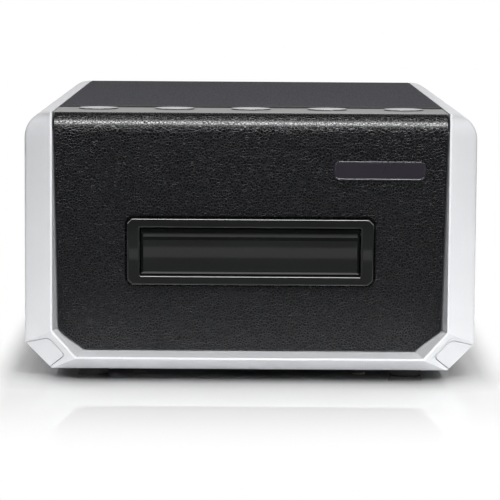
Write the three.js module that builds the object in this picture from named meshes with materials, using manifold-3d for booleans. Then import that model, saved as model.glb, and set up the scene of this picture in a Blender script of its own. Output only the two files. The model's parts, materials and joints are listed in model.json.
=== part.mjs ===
// A desktop scanner for strips of 35 mm film. A flat holder goes in through the sprung flap at the front,
// two pairs of rollers carry it over the scanning line, and it leaves through the flap at the rear.
// Millimetres, +Z up. The origin is on the table, under the middle of the casing, and the front faces -Y.
import * as THREE from "three";
import { mergeVertices } from "three/addons/utils/BufferGeometryUtils.js";
import Module from "manifold-3d";

const wasm = await Module();
wasm.setup();

// Casing as a whole, feet included
const bodyWidth = 175;
const bodyDepth = 259;
const bodyHeight = 104;

// Clearances, and how far a cut runs past the face that it opens
const gap = 0.3;
const runningGap = 0.3;
const pressGap = 0.2;
const overrun = 4;

// Facets of round forms
const cornerSteps = 6;
const roundSides = 20;
const smallSides = 12;
const footSides = 16;
const rollerSides = 16;
const wireSides = 5;
const wireStepsPerTurn = 8;

// Silver shell: floor and two sides in one moulding, with a bevelled frame round the front
const shellWall = 2.5;
const topCornerRadius = 10.6;
const bottomChamfer = 10.3;
const bevelDepth = 10;
const frameDepth = 12.5;
const rimRise = 5.3;
const rimChamferWidth = 9.6;
const rimChamferHeight = 10.7;
const rimBand = 0.8;
const mouthDepth = 9;
const mouthSideDraw = 1.3;
const mouthBottomDraw = 1.2;
const mouthChamferWidth = 10.2;
const mouthChamferHeight = 8.3;
const mouthTopDepth = 7.2;
const floorVentLength = 26;
const floorVentWidth = 2.4;
const floorVentPitch = 6;
const floorVentCount = 7;

// Corner pads in the bevel at the foot of each side; shares run along and across the bevel's facet
const padThickness = 1.9;
const padSink = 0.5;
const pocketSlope = 1.5;
const padUpperShare = 0.15;
const padLowerShare = 0.82;
const padOuterUpperShare = 0.04;
const padOuterLowerShare = 0.94;
const padInnerShare = 0.74;
const padCornerShare = 0.14;

// Rubber feet
const footHeight = 3.4;
const footRadius = 7;
const footTaper = 0.8;
const footInsetX = 26;
const footInsetY = 24;
const footPegRadius = 2.4;
const footPegLength = 3.6;

// Leather-grained front panel, which leans back towards its foot
const panelWall = 2.5;
const panelTopRadius = 7;
const panelLean = THREE.MathUtils.degToRad(5.85);
const rimFlush = 0.3;
const shelfReach = 4;
const shelfWall = 2;

// Leather-grained top cover and the tongues that hold it under the shell's shoulders
const coverWall = 2.5;
const tongueReach = 2.4;
const tongueWall = 2;
const tongueRootWidth = 6;
const ledgeReach = 2.8;

// Control strip with its row of buttons
const stripWall = 2.5;
const stripStep = 0.4;
const buttonCount = 5;
const buttonEndMargin = 8.4;
const buttonSetback = 24;
const buttonRearMargin = 5;
const buttonRadius = 7.7;
const domeHeight = 1.1;
const domeSteps = 3;
const buttonFlange = 1.5;
const buttonFlangeWall = 1.2;
const buttonTravel = 0.8;
const stemRadius = 2;
const postLength = 8.1;
const postRadius = 2.6;
const postRearMargin = 0.9;
const buttonBoardEndMargin = 8.1;
const boardEdgeMargin = 1;
const boardWall = 1.6;
const switchWidth = 6;
const switchHeight = 3.5;
const switchWellDepth = 2.6;
const stemDip = 1.2;

// Slot bezels and flaps: the front and the rear one are alike but for the depth of the throat
const slotHeightOnFace = 50.2;
const slotWidth = 85.2;
const slotHeight = 19;
const bezelBorderWidth = 5;
const bezelBorderHeight = 3.6;
const bezelCornerCut = 2;
const bezelProud = 1.8;
const bezelEdge = 0.7;
const throatWall = 2;
const throatDepth = 20;
const rearThroatDepth = 12;
const flapGap = 0.4;
const flapRecess = 2;
const flapThickness = 2.4;
const flapBevel = 1.5;
const flapBevelDepth = 0.9;
const knuckleRadius = 2.2;
const flapPinRadius = 0.8;
const springPlay = 0.25;
const springWire = 0.4;
const springTurns = 4;
const springLength = 3;

// Bare plate at the upper right of the front
const badgeWidth = 35.3;
const badgeHeight = 7.4;
const badgeCornerCut = 1.6;
const badgeThickness = 1.5;
const badgeProud = 0.6;
const badgeSideMargin = 8.95;
const badgeLift = 2.25;

// Rear panel and what is fitted in it
const rearRecess = 2.5;
const rearWall = 2.5;
const rearVentCount = 9;
const rearVentPitch = 7;
const rearVentWidth = 3;
const rearVentHeight = 14;
const rearVentZ = 22;
const usbInset = 45.5;
const usbWidth = 12;
const usbHeight = 11;
const usbLength = 18;
const portWall = 1;
const usbTongueHeight = 3;
const portSpacing = 24;
const dcWidth = 10;
const dcLength = 16;
const dcBoreRadius = 3.1;
const dcPinRadius = 1;
const dcBoreDepth = 9;
const powerInset = 47.5;
const powerDrop = 14;
const powerWidth = 21;
const powerHeight = 15;
const powerFlange = 1.4;
const powerFlangeWall = 1.2;
const powerBodyDepth = 14;
const powerCavityDepth = 9;
const rockerTilt = THREE.MathUtils.degToRad(8);
const rockerThickness = 5;
const rockerPivotDepth = 3;
const rockerPinRadius = 1.2;
const rockerPinLength = 1.2;

// Sheet-metal chassis
const traySideMargin = 19.5;
const trayWall = 1.5;
const trayFlange = 8;
const trayFrontMargin = 25.5;
const trayRearMargin = 8.5;
const pegRoom = 1.2;
const frameSpacing = 92;
const frameWall = 2;
const frameEndMargin = 24;
const frameTopDrop = 23.5;
const frameFoot = 7;
const frameCornerCut = 12;
const frameWindowMargin = 10;
const frameWindowWidth = 22;
const frameWindowPitch = 38;
const frameWindowCount = 4;

// Film channel for a holder of this section
const holderWidth = 78;
const holderThickness = 5;
const channelSlack = 0.5;
const bedWall = 2.5;
const railWidth = 3;
const bedFrontMargin = 1.4;
const bedRearMargin = 4;
const bedTabY = 36;
const bedTabWidth = 12;
const guideWall = 2;
const leadIn = 8;
const slitLength = 38;
const slitWidth = 4;

// Rollers
const driveRadius = 7;
const driveCoreRadius = 3.7;
const driveShaftRadius = 2.5;
const tyreWidth = 12;
const tyreOffset = 26;
const shaftOverhang = 3;
const pinchRadius = 5;
const pinchAxleRadius = 2;
const windowGap = 0.8;

// Gear train on the right-hand frame
const rollerGearRadius = 13;
const pinionTeeth = 14;
const idlerTeeth = 40;
const rollerTeeth = 26;
const gearWidth = 4;
const gearStandoff = 2;
const addendumShare = 0.9;
const dedendumShare = 1.2;
const backlash = 0.28;
const pressureAngle = THREE.MathUtils.degToRad(20);
const idlerStudRadius = 3;
const idlerRimShare = 0.8;
const idlerWeb = 1.2;

// Stepper motor on its bracket
const motorRadius = 17.5;
const motorEndMargin = 5;
const motorBossRadius = 5;
const motorShaftRadius = 1.5;
const motorShaftDepth = 8;
const motorEarReach = 5;
const motorEarWall = 1.2;
const bracketWall = 2;
const bracketGap = 3;
const bracketWidth = 52;
const spacerRadius = 2.5;
const spacerOffsetY = 10;
const spacerOffsetZ = 21.3;

// Lamp above the film
const lampWidth = 66;
const lampDepth = 26;
const lampHeight = 18;
const lampWall = 2;
const lampFinCount = 7;
const lampFinHeight = 4;
const diffuserWall = 2;

// Scanning optics under the film
const opticsZ = 20;
const opticsWidth = 58;
const opticsWall = 2;
const opticsFrontY = -17;
const opticsRearY = 92;
const opticsTopZ = 31;
const mirrorLength = 44;
const mirrorHeight = 22;
const mirrorWall = 2.5;
const lensY = 50;
const lensLength = 24;
const lensRadius = 9;
const lensBoreRadius = 6.5;
const lensNoseRadius = 7.6;
const lensNoseLength = 5;
const lensGlassWall = 4;
const saddleLength = 12;
const clampWall = 1.5;
const sensorBoardY = 84;
const sensorLength = 40;
const sensorHeight = 9;
const sensorDepth = 3;

// Main board
const mainBoardOverhang = 11;
const mainBoardDepth = 98.5;
const chipHeight = 2.4;
const capacitorRadius = 4;
const capacitorHeight = 11;
const boardNotchMargin = 3;

// Places worked out from the sizes above
const halfWidth = bodyWidth / 2;
const frontY = -bodyDepth / 2;
const rearY = bodyDepth / 2;
const topZ = bodyHeight;
const undersideZ = footHeight;
const shoulderX = halfWidth - topCornerRadius;
const openingHalf = shoulderX - rimBand;
const rimBottomZ = undersideZ + rimRise;
const floorZ = undersideZ + shellWall;
const lipUndersideZ = topZ - shellWall;
const frameEndY = frontY + frameDepth;
const stripTopZ = topZ - stripStep;
const stripUnderZ = stripTopZ - stripWall;
const panelArcY = frontY + rimFlush + panelTopRadius;
const panelArcZ = stripTopZ - panelTopRadius;
const buttonY = panelArcY + buttonSetback;
const coverFrontY = buttonY + buttonRadius + buttonRearMargin;
const stripFrontY = panelArcY + gap;
const stripRearY = coverFrontY - gap;
const buttonPitch = (2 * (openingHalf - buttonEndMargin - buttonRadius)) / (buttonCount - 1);
const postY = buttonRadius + buttonRearMargin - ledgeReach - postRadius - postRearMargin;
const buttonBoardWidth = 2 * (openingHalf - buttonBoardEndMargin);
const buttonBoardDepth = 2 * (postY + postRadius + boardEdgeMargin);
const buttonBoardZ = stripUnderZ - postLength;
const switchTopZ = buttonBoardZ + switchHeight;
const stemBottomZ = switchTopZ - stemDip;
const rearFaceY = rearY - rearRecess;
const rearInnerY = rearFaceY - rearWall;
const trayWidth = bodyWidth - 2 * traySideMargin;
const trayFrontY = frontY + trayFrontMargin;
const trayRearY = rearInnerY - trayRearMargin;
const bedRearY = rearFaceY - rearThroatDepth - bedRearMargin;
const frameTopZ = topZ - frameTopDrop;
const trayTopZ = floorZ + trayWall;
const frameX = frameSpacing / 2;
const frameOuterX = frameX + frameWall;
const slotZ = slotHeightOnFace;
const nipBottomZ = slotZ - holderThickness / 2;
const nipTopZ = slotZ + holderThickness / 2;
const bedTopZ = nipBottomZ - channelSlack;
const guideBottomZ = nipTopZ + channelSlack;
const guideTopZ = guideBottomZ + guideWall;
const channelHalf = holderWidth / 2 + channelSlack;
const driveAxisZ = nipBottomZ - driveRadius;
const pinchAxisZ = nipTopZ + pinchRadius;
const gearModule = (2 * rollerGearRadius) / rollerTeeth;
const idlerY = (gearModule * (pinionTeeth + idlerTeeth)) / 2;
const rollerY = idlerY + (gearModule * (idlerTeeth + rollerTeeth)) / 2;
const frameLength = 2 * (rollerY + frameEndMargin);
const gearX = frameOuterX + gearStandoff;
const gearEndX = gearX + gearWidth;
const bracketX = gearEndX + bracketGap;
const motorX = bracketX + bracketWall;
const motorLength = halfWidth - shellWall - motorEndMargin - motorX;
const mainBoardWidth = 2 * (frameOuterX + mainBoardOverhang);
const mainBoardFrontY = rearInnerY - mainBoardDepth;
const portZ = frameTopZ + boardWall + usbHeight / 2;
const usbX = usbInset - halfWidth;
const dcX = usbX + portSpacing;
const powerX = halfWidth - powerInset;
const powerZ = topZ - powerDrop;
const bezelTop = slotHeight / 2 + bezelBorderHeight;
const badgeX = openingHalf - badgeSideMargin - badgeWidth / 2;
const badgeRise = (bezelTop + panelArcZ - slotZ) / 2 + badgeLift;
const panelFaceYAtSlot = panelFaceY(slotZ);
const throatEndY =
  panelFaceYAtSlot +
  throatDepth * Math.cos(panelLean) +
  (slotHeight / 2 + throatWall) * Math.sin(panelLean);
const bedFrontY = throatEndY + bedFrontMargin;

// The front panel's outer face at a height below its rounded top edge.
function panelFaceY(z) {
  const tangentY = panelArcY - panelTopRadius * Math.cos(panelLean);
  const tangentZ = panelArcZ - panelTopRadius * Math.sin(panelLean);
  return tangentY + (tangentZ - z) * Math.tan(panelLean);
}

// Closed mesh to solid, faces turned outwards.
function solid(geometry) {
  const bare = geometry.index ? geometry.toNonIndexed() : geometry.clone();
  for (const name of Object.keys(bare.attributes)) {
    if (name !== "position") bare.deleteAttribute(name);
  }
  const merged = mergeVertices(bare, 1e-4);
  const index = merged.index.array;
  const kept = [];
  for (let i = 0; i < index.length; i += 3) {
    const [a, b, c] = [index[i], index[i + 1], index[i + 2]];
    if (a !== b && b !== c && c !== a) kept.push(a, b, c);
  }
  const made = manifoldOf(merged.attributes.position.array, kept);
  if (made.volume() >= 0) return made;
  const turned = [];
  for (let i = 0; i < kept.length; i += 3) turned.push(kept[i], kept[i + 2], kept[i + 1]);
  return manifoldOf(merged.attributes.position.array, turned);
}

function manifoldOf(vertices, triangles) {
  const mesh = new wasm.Mesh({
    numProp: 3,
    vertProperties: new Float32Array(vertices),
    triVerts: new Uint32Array(triangles),
  });
  return new wasm.Manifold(mesh);
}

function geometryOf(made) {
  const mesh = made.getMesh();
  const stride = mesh.numProp;
  const vertices = new Float32Array(mesh.numVert * 3);
  for (let i = 0; i < mesh.numVert; i += 1) {
    vertices.set(mesh.vertProperties.subarray(i * stride, i * stride + 3), i * 3);
  }
  const geometry = new THREE.BufferGeometry();
  geometry.setAttribute("position", new THREE.BufferAttribute(vertices, 3));
  geometry.setIndex(new THREE.BufferAttribute(new Uint32Array(mesh.triVerts), 1));
  return geometry;
}

function join(...solids) {
  return solids.reduce((sum, next) => sum.add(next));
}

function cut(from, ...tools) {
  return tools.reduce((rest, tool) => rest.subtract(tool), from);
}

function moved(made, matrix) {
  return solid(geometryOf(made).applyMatrix4(matrix));
}

function block(x0, x1, y0, y1, z0, z1) {
  const geometry = new THREE.BoxGeometry(x1 - x0, y1 - y0, z1 - z0);
  return solid(geometry.translate((x0 + x1) / 2, (y0 + y1) / 2, (z0 + z1) / 2));
}

// A block that is centred on X.
function bar(halfX, y0, y1, z0, z1) {
  return block(-halfX, halfX, y0, y1, z0, z1);
}

// The three axes that a flat outline is drawn on and pushed along: its points are (y, z) along x,
// (x, z) along y and (x, y) along z.
const bases = {
  x: [new THREE.Vector3(0, 1, 0), new THREE.Vector3(0, 0, 1), new THREE.Vector3(1, 0, 0)],
  y: [new THREE.Vector3(1, 0, 0), new THREE.Vector3(0, 0, 1), new THREE.Vector3(0, -1, 0)],
  z: [new THREE.Vector3(1, 0, 0), new THREE.Vector3(0, 1, 0), new THREE.Vector3(0, 0, 1)],
};

function slab(axis, outline, from, to, holes = []) {
  const shape = new THREE.Shape(outline.map(([a, b]) => new THREE.Vector2(a, b)));
  for (const hole of holes) {
    shape.holes.push(new THREE.Path(hole.map(([a, b]) => new THREE.Vector2(a, b))));
  }
  const geometry = new THREE.ExtrudeGeometry(shape, { depth: to - from, bevelEnabled: false });
  geometry.applyMatrix4(new THREE.Matrix4().makeBasis(...bases[axis]));
  const shift = bases[axis][2].clone().multiplyScalar(axis === "y" ? -to : from);
  return solid(geometry.translate(shift.x, shift.y, shift.z));
}

function circle(radius, a = 0, b = 0, sides = roundSides) {
  const points = [];
  for (let i = 0; i < sides; i += 1) {
    const angle = (2 * Math.PI * (i + 0.5)) / sides;
    points.push([a + radius * Math.cos(angle), b + radius * Math.sin(angle)]);
  }
  return points;
}

function rod(axis, radius, from, to, a = 0, b = 0, sides = roundSides) {
  return slab(axis, circle(radius, a, b, sides), from, to);
}

// A profile of (radius, height) points turned about an axis through the origin.
function turned(axis, profile, sides = roundSides) {
  const points = profile.map(([radius, height]) => new THREE.Vector2(radius, height));
  const geometry = new THREE.LatheGeometry(points, sides);
  geometry.rotateY(Math.PI / sides);
  if (axis === "z") geometry.rotateX(Math.PI / 2);
  if (axis === "x") geometry.rotateZ(-Math.PI / 2);
  return solid(geometry);
}

function shifted(made, x, y, z) {
  return moved(made, new THREE.Matrix4().makeTranslation(x, y, z));
}

// A convex body through sections with as many points each, closed by a fan at both ends.
function loft(sections) {
  const count = sections[0].length;
  const vertices = sections.flat().flatMap((point) => [point.x, point.y, point.z]);
  const triangles = [];
  for (let s = 0; s + 1 < sections.length; s += 1) {
    for (let i = 0; i < count; i += 1) {
      const [a, b] = [s * count + i, s * count + ((i + 1) % count)];
      triangles.push(a, b, b + count, a, b + count, a + count);
    }
  }
  const last = sections.length - 1;
  for (const [section, flip] of [[0, true], [last, false]]) {
    const middle = new THREE.Vector3();
    for (const point of sections[section]) middle.addScaledVector(point, 1 / count);
    const hub = vertices.length / 3;
    vertices.push(middle.x, middle.y, middle.z);
    for (let i = 0; i < count; i += 1) {
      const [a, b] = [section * count + i, section * count + ((i + 1) % count)];
      triangles.push(hub, flip ? b : a, flip ? a : b);
    }
  }
  const geometry = new THREE.BufferGeometry();
  geometry.setAttribute("position", new THREE.Float32BufferAttribute(vertices, 3));
  geometry.setIndex(triangles);
  return solid(geometry);
}

// An (x, z) outline as a section that stands at one depth.
function standing(outline, y) {
  return outline.map(([x, z]) => new THREE.Vector3(x, y, z));
}

// The right-hand points of an outline, from the top down, and their mirror images.
function mirrored(right) {
  return [...right, ...right.map(([x, z]) => [-x, z]).reverse()];
}

// A convex outline with each side moved inwards by the same distance.
function inset(outline, distance) {
  const count = outline.length;
  const area = outline.reduce((sum, [x, z], i) => {
    const [nextX, nextZ] = outline[(i + 1) % count];
    return sum + x * nextZ - nextX * z;
  }, 0);
  const turn = Math.sign(area);
  const lines = outline.map(([x, z], i) => {
    const [nextX, nextZ] = outline[(i + 1) % count];
    const length = Math.hypot(nextX - x, nextZ - z);
    const normal = [(-turn * (nextZ - z)) / length, (turn * (nextX - x)) / length];
    return { normal, offset: normal[0] * x + normal[1] * z + distance };
  });
  return lines.map((line, i) => {
    const before = lines[(i + count - 1) % count];
    const cross = before.normal[0] * line.normal[1] - before.normal[1] * line.normal[0];
    return [
      (before.offset * line.normal[1] - line.offset * before.normal[1]) / cross,
      (line.offset * before.normal[0] - before.offset * line.normal[0]) / cross,
    ];
  });
}

function boxOutline(width, height, corner, a = 0, b = 0) {
  const [w, h] = [width / 2, height / 2];
  return mirrored([
    [w - corner, h],
    [w, h - corner],
    [w, corner - h],
    [w - corner, -h],
  ]).map(([x, z]) => [x + a, z + b]);
}

// Heights of the points on the shell's round shoulder, from the top down.
function shoulderAngles() {
  return Array.from({ length: cornerSteps + 1 }, (_, i) => (Math.PI / 2) * (1 - i / cornerSteps));
}

function shoulderHeight(angle) {
  return topZ - topCornerRadius + topCornerRadius * Math.sin(angle);
}

function casingOutline() {
  const shoulder = shoulderAngles().map((angle) => [
    shoulderX + topCornerRadius * Math.cos(angle),
    shoulderHeight(angle),
  ]);
  const foot = [
    [halfWidth, undersideZ + bottomChamfer],
    [halfWidth - bottomChamfer, undersideZ],
  ];
  return mirrored([...shoulder, ...foot]);
}

// The ridge that stands furthest forward, with a point for each point of the casing's outline.
function rimOutline() {
  const side = shoulderAngles().map((angle) => [shoulderX, shoulderHeight(angle)]);
  const foot = [
    [shoulderX, rimBottomZ + rimChamferHeight],
    [shoulderX - rimChamferWidth, rimBottomZ],
  ];
  return mirrored([...side, ...foot]);
}

// The opening inside the ridge, which narrows with depth; it is open at the top.
function mouthOutline(depth, inwards) {
  const top = topZ + overrun;
  const rim = mirrored([
    [shoulderX, top + rimBand],
    [shoulderX, rimBottomZ + rimChamferHeight],
    [shoulderX - rimChamferWidth, rimBottomZ],
  ]);
  const front = inset(rim, rimBand);
  const half = openingHalf - mouthSideDraw;
  const bottom = rimBottomZ + rimBand + mouthBottomDraw;
  const deep = mirrored([
    [half, top],
    [half, bottom + mouthChamferHeight],
    [half - mouthChamferWidth, bottom],
  ]);
  const share = depth / mouthDepth;
  const there = front.map(([x, z], i) => [
    x + (deep[i][0] - x) * share,
    z + (deep[i][1] - z) * share,
  ]);
  return inwards ? inset(there, inwards) : there;
}

function mouth(fromDepth, toDepth, inwards = 0) {
  return loft([
    standing(mouthOutline(fromDepth, inwards), frontY + fromDepth),
    standing(mouthOutline(toDepth, inwards), frontY + toDepth),
  ]);
}

function casingBlock() {
  return loft([
    standing(casingOutline(), rearY),
    standing(casingOutline(), frontY + bevelDepth),
    standing(rimOutline(), frontY),
  ]);
}

// A point of the bevel's facet at the foot of one side: along runs down it, across runs in to the ridge,
// and depth is measured into the shell.
function facetPoint(side, along, across, depth) {
  const outer = [
    new THREE.Vector3(halfWidth, frontY + bevelDepth, undersideZ + bottomChamfer),
    new THREE.Vector3(halfWidth - bottomChamfer, frontY + bevelDepth, undersideZ),
  ];
  const inner = [
    new THREE.Vector3(shoulderX, frontY, rimBottomZ + rimChamferHeight),
    new THREE.Vector3(shoulderX - rimChamferWidth, frontY, rimBottomZ),
  ];
  const normal = outer[1].clone().sub(outer[0]).cross(inner[0].clone().sub(outer[0])).normalize();
  const low = outer[0].clone().lerp(outer[1], along);
  const high = inner[0].clone().lerp(inner[1], along);
  const point = low.lerp(high, across).addScaledVector(normal, depth);
  point.x *= side;
  return point;
}

// The pad's outline on the facet, grown on all its sides but the outer one, with two cut corners.
function padSection(side, grow, depth) {
  const facetWidth = bottomChamfer * Math.SQRT2;
  const facetReach = Math.hypot(bevelDepth, topCornerRadius, rimRise);
  const [alongGrow, acrossGrow] = [grow / facetWidth, grow / facetReach];
  const reachOut = -overrun / facetReach;
  const spread = (end, mid) => mid + ((end - mid) * (padInnerShare - reachOut)) / padInnerShare;
  const points = [
    [spread(padOuterUpperShare, padUpperShare) - alongGrow, reachOut],
    [padUpperShare - alongGrow, padInnerShare - padCornerShare + acrossGrow],
    [padUpperShare + padCornerShare - alongGrow, padInnerShare + acrossGrow],
    [padLowerShare - padCornerShare + alongGrow, padInnerShare + acrossGrow],
    [padLowerShare + alongGrow, padInnerShare - padCornerShare + acrossGrow],
    [spread(padOuterLowerShare, padLowerShare) + alongGrow, reachOut],
  ];
  return points.map(([along, across]) => facetPoint(side, along, across, depth));
}

function padPocket(side) {
  const floorDepth = padSink + padThickness + gap;
  return loft([
    padSection(side, gap, floorDepth),
    padSection(side, gap, padSink),
    padSection(side, gap + pocketSlope, 0),
    padSection(side, gap + pocketSlope + overrun, -overrun),
  ]);
}

function cornerPad(side) {
  const whole = loft([
    padSection(side, 0, padSink + padThickness),
    padSection(side, 0, padSink),
  ]);
  return whole.intersect(casingBlock());
}

function footPlaces() {
  const [x, y] = [halfWidth - footInsetX, rearY - footInsetY];
  return { front_left: [-x, -y], front_right: [x, -y], rear_left: [-x, y], rear_right: [x, y] };
}

function silverShell() {
  const cavity = slab("y", inset(casingOutline(), shellWall), frameEndY, rearY + overrun);
  const topOpening = bar(openingHalf, frameEndY, rearY + overrun, lipUndersideZ - shellWall, topZ + overrun);
  const frontTop = bar(
    openingHalf,
    frontY - overrun,
    frameEndY + overrun,
    topZ - mouthTopDepth,
    topZ + overrun,
  );
  const pegHoles = Object.values(footPlaces()).map(([x, y]) =>
    rod("z", footPegRadius + gap, undersideZ - overrun, floorZ + overrun, x, y, smallSides),
  );
  const vents = [];
  for (let i = 0; i < floorVentCount; i += 1) {
    const x = (i - (floorVentCount - 1) / 2) * floorVentPitch;
    const outline = boxOutline(floorVentWidth, floorVentLength, floorVentWidth / 3, x, 0);
    vents.push(slab("z", outline, undersideZ - overrun, floorZ + overrun));
  }
  return cut(
    casingBlock(),
    cavity,
    topOpening,
    frontTop,
    mouth(-overrun, frameDepth + overrun),
    padPocket(1),
    padPocket(-1),
    ...pegHoles,
    ...vents,
  );
}

// Matrix of the front panel's outer face: x to the right, y into the casing, z up along the panel,
// with its origin at the middle of the slot.
function faceMatrix() {
  const turn = new THREE.Matrix4().makeRotationX(panelLean);
  return turn.setPosition(0, panelFaceYAtSlot, slotZ);
}

function arcPoints(radius, from, to) {
  return Array.from({ length: cornerSteps + 1 }, (_, i) => {
    const angle = from + ((to - from) * i) / cornerSteps;
    return [panelArcY + radius * Math.cos(angle), panelArcZ + radius * Math.sin(angle)];
  });
}

function frontPanel() {
  const [up, out] = [Math.PI / 2, Math.PI + panelLean];
  const foot = undersideZ;
  const wallBehind = panelWall / Math.cos(panelLean);
  const profile = [
    ...arcPoints(panelTopRadius, up, out),
    [panelFaceY(foot), foot],
    [panelFaceY(foot) + wallBehind, foot],
    ...arcPoints(panelTopRadius - panelWall, out, up),
  ];
  const skin = slab("x", profile, -halfWidth, halfWidth);
  const shelf = bar(
    halfWidth,
    panelArcY - shelfReach,
    panelArcY + shelfReach,
    stripUnderZ - shelfWall,
    stripUnderZ,
  );
  const within = join(
    mouth(-overrun, frameDepth + overrun, gap),
    bar(openingHalf - gap, frontY, frameEndY + overrun, topZ - mouthTopDepth + gap, topZ + overrun),
  );
  const hole = slab(
    "y",
    boxOutline(slotWidth + 2 * (throatWall + gap), slotHeight + 2 * (throatWall + gap), gap),
    -overrun,
    panelWall + overrun,
  );
  const badgeSeat = slab(
    "y",
    boxOutline(badgeWidth + 2 * gap, badgeHeight + 2 * gap, badgeCornerCut, badgeX, badgeRise),
    -overrun,
    badgeThickness - badgeProud + gap,
  );
  const shelfCut = bar(halfWidth, frontY - overrun, panelArcY, stripTopZ, topZ + overrun);
  const openings = moved(join(hole, badgeSeat), faceMatrix());
  return cut(join(skin, shelf).intersect(within), openings, shelfCut);
}

function badgePlate() {
  const inside = badgeThickness - badgeProud;
  const full = boxOutline(badgeWidth, badgeHeight, badgeCornerCut, badgeX, badgeRise);
  return loft([
    standing(full, inside),
    standing(full, -badgeProud / 2),
    standing(inset(full, badgeProud / 2), -badgeProud),
  ]);
}

// The cross-section that the top cover and the control strip share: a plate with a tongue at each side.
function tonguedOutline(plateTopZ, wall) {
  const tongueTopZ = lipUndersideZ - gap - stripStep;
  const half = openingHalf - gap;
  return mirrored([
    [half, plateTopZ],
    [half, tongueTopZ],
    [half + tongueReach, tongueTopZ],
    [half + tongueReach, tongueTopZ - tongueWall],
    [half - tongueRootWidth, tongueTopZ - tongueWall],
    [half - tongueRootWidth, plateTopZ - wall],
  ]);
}

function topCover() {
  const half = openingHalf - gap;
  const plate = bar(half, coverFrontY, rearY, topZ - coverWall, topZ);
  const tongues = slab("y", tonguedOutline(topZ, coverWall), coverFrontY, rearInnerY - gap);
  const ledgeHalf = half - tongueRootWidth - gap;
  const ledge = join(
    bar(ledgeHalf, coverFrontY - ledgeReach, coverFrontY + ledgeReach, stripUnderZ - shelfWall, stripUnderZ),
    bar(ledgeHalf, coverFrontY, coverFrontY + ledgeReach, stripUnderZ - shelfWall, topZ - coverWall / 2),
  );
  return join(plate, tongues, ledge);
}

function buttonPlaces() {
  return Array.from({ length: buttonCount }, (_, i) => (i - (buttonCount - 1) / 2) * buttonPitch);
}

function controlStrip() {
  const half = openingHalf - gap;
  const plate = bar(half, stripFrontY, stripRearY, stripUnderZ, stripTopZ);
  const tongues = slab(
    "y",
    tonguedOutline(stripTopZ, stripWall),
    Math.max(frameEndY, panelArcY + shelfReach) + gap,
    stripRearY,
  );
  const postX = (buttonPitch * (buttonCount - 2)) / 2;
  const posts = [-1, 1].flatMap((side) =>
    [-1, 1].map((end) =>
      rod(
        "z",
        postRadius,
        buttonBoardZ,
        stripTopZ - stripWall / 2,
        side * postX,
        buttonY + end * postY,
        smallSides,
      ),
    ),
  );
  const holes = buttonPlaces().map((x) =>
    rod("z", buttonRadius + runningGap, stripUnderZ - overrun, topZ + overrun, x, buttonY, roundSides),
  );
  return cut(join(plate, tongues, ...posts), ...holes);
}

function button(x) {
  const flangeTop = stripUnderZ - gap;
  const sphere = (buttonRadius ** 2 + domeHeight ** 2) / (2 * domeHeight);
  const dome = Array.from({ length: domeSteps + 1 }, (_, i) => {
    const radius = buttonRadius * (1 - i / domeSteps);
    return [radius, stripTopZ + domeHeight - sphere + Math.sqrt(sphere ** 2 - radius ** 2)];
  });
  const profile = [
    [0, stemBottomZ],
    [stemRadius, stemBottomZ],
    [stemRadius, flangeTop - buttonFlangeWall],
    [buttonRadius + buttonFlange, flangeTop - buttonFlangeWall],
    [buttonRadius + buttonFlange, flangeTop],
    [buttonRadius, flangeTop],
    ...dome,
  ];
  return shifted(turned("z", profile), x, buttonY, 0);
}

function buttonBoard() {
  const halfDepth = buttonBoardDepth / 2;
  const board = bar(
    buttonBoardWidth / 2,
    buttonY - halfDepth,
    buttonY + halfDepth,
    buttonBoardZ - boardWall,
    buttonBoardZ,
  );
  const half = switchWidth / 2;
  const switches = buttonPlaces().map((x) =>
    block(x - half, x + half, buttonY - half, buttonY + half, buttonBoardZ - boardWall / 2, switchTopZ),
  );
  const wells = buttonPlaces().map((x) =>
    rod(
      "z",
      stemRadius + runningGap,
      switchTopZ - switchWellDepth,
      switchTopZ + overrun,
      x,
      buttonY,
      smallSides,
    ),
  );
  return cut(join(board, ...switches), ...wells);
}

// Places of the flap and its pin, measured from the panel's face inwards and up from the slot's middle.
const flapHalfHeight = slotHeight / 2 - flapGap;
const flapHalfWidth = slotWidth / 2 - flapGap;
const flapFaceY = flapRecess - bezelProud;
const flapPinY = flapFaceY + knuckleRadius;
const flapPinZ = flapHalfHeight - knuckleRadius;
const springRadius = flapPinRadius + springPlay + springWire / 2;
const springRoom = springLength + 2 * gap;

function slotBezel(depth) {
  const outline = boxOutline(
    slotWidth + 2 * bezelBorderWidth,
    slotHeight + 2 * bezelBorderHeight,
    bezelCornerCut,
  );
  const flange = loft([
    standing(outline, -gap),
    standing(outline, bezelEdge - bezelProud),
    standing(inset(outline, bezelEdge), -bezelProud),
  ]);
  const collar = slab(
    "y",
    boxOutline(slotWidth + 2 * throatWall, slotHeight + 2 * throatWall, gap),
    -bezelProud / 2,
    depth,
  );
  const slot = boxOutline(slotWidth, slotHeight, gap);
  const opening = slab("y", slot, -overrun, depth + overrun);
  const edge = loft([
    standing(inset(slot, gap), gap + bezelEdge - bezelProud),
    standing(inset(slot, -overrun), bezelEdge - overrun - bezelProud),
  ]);
  const pinHole = rod(
    "x",
    flapPinRadius + pressGap,
    -slotWidth / 2 - throatWall - overrun,
    slotWidth / 2 + throatWall + overrun,
    flapPinY,
    flapPinZ,
    smallSides,
  );
  return cut(join(flange, collar), opening, edge, pinHole);
}

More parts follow.
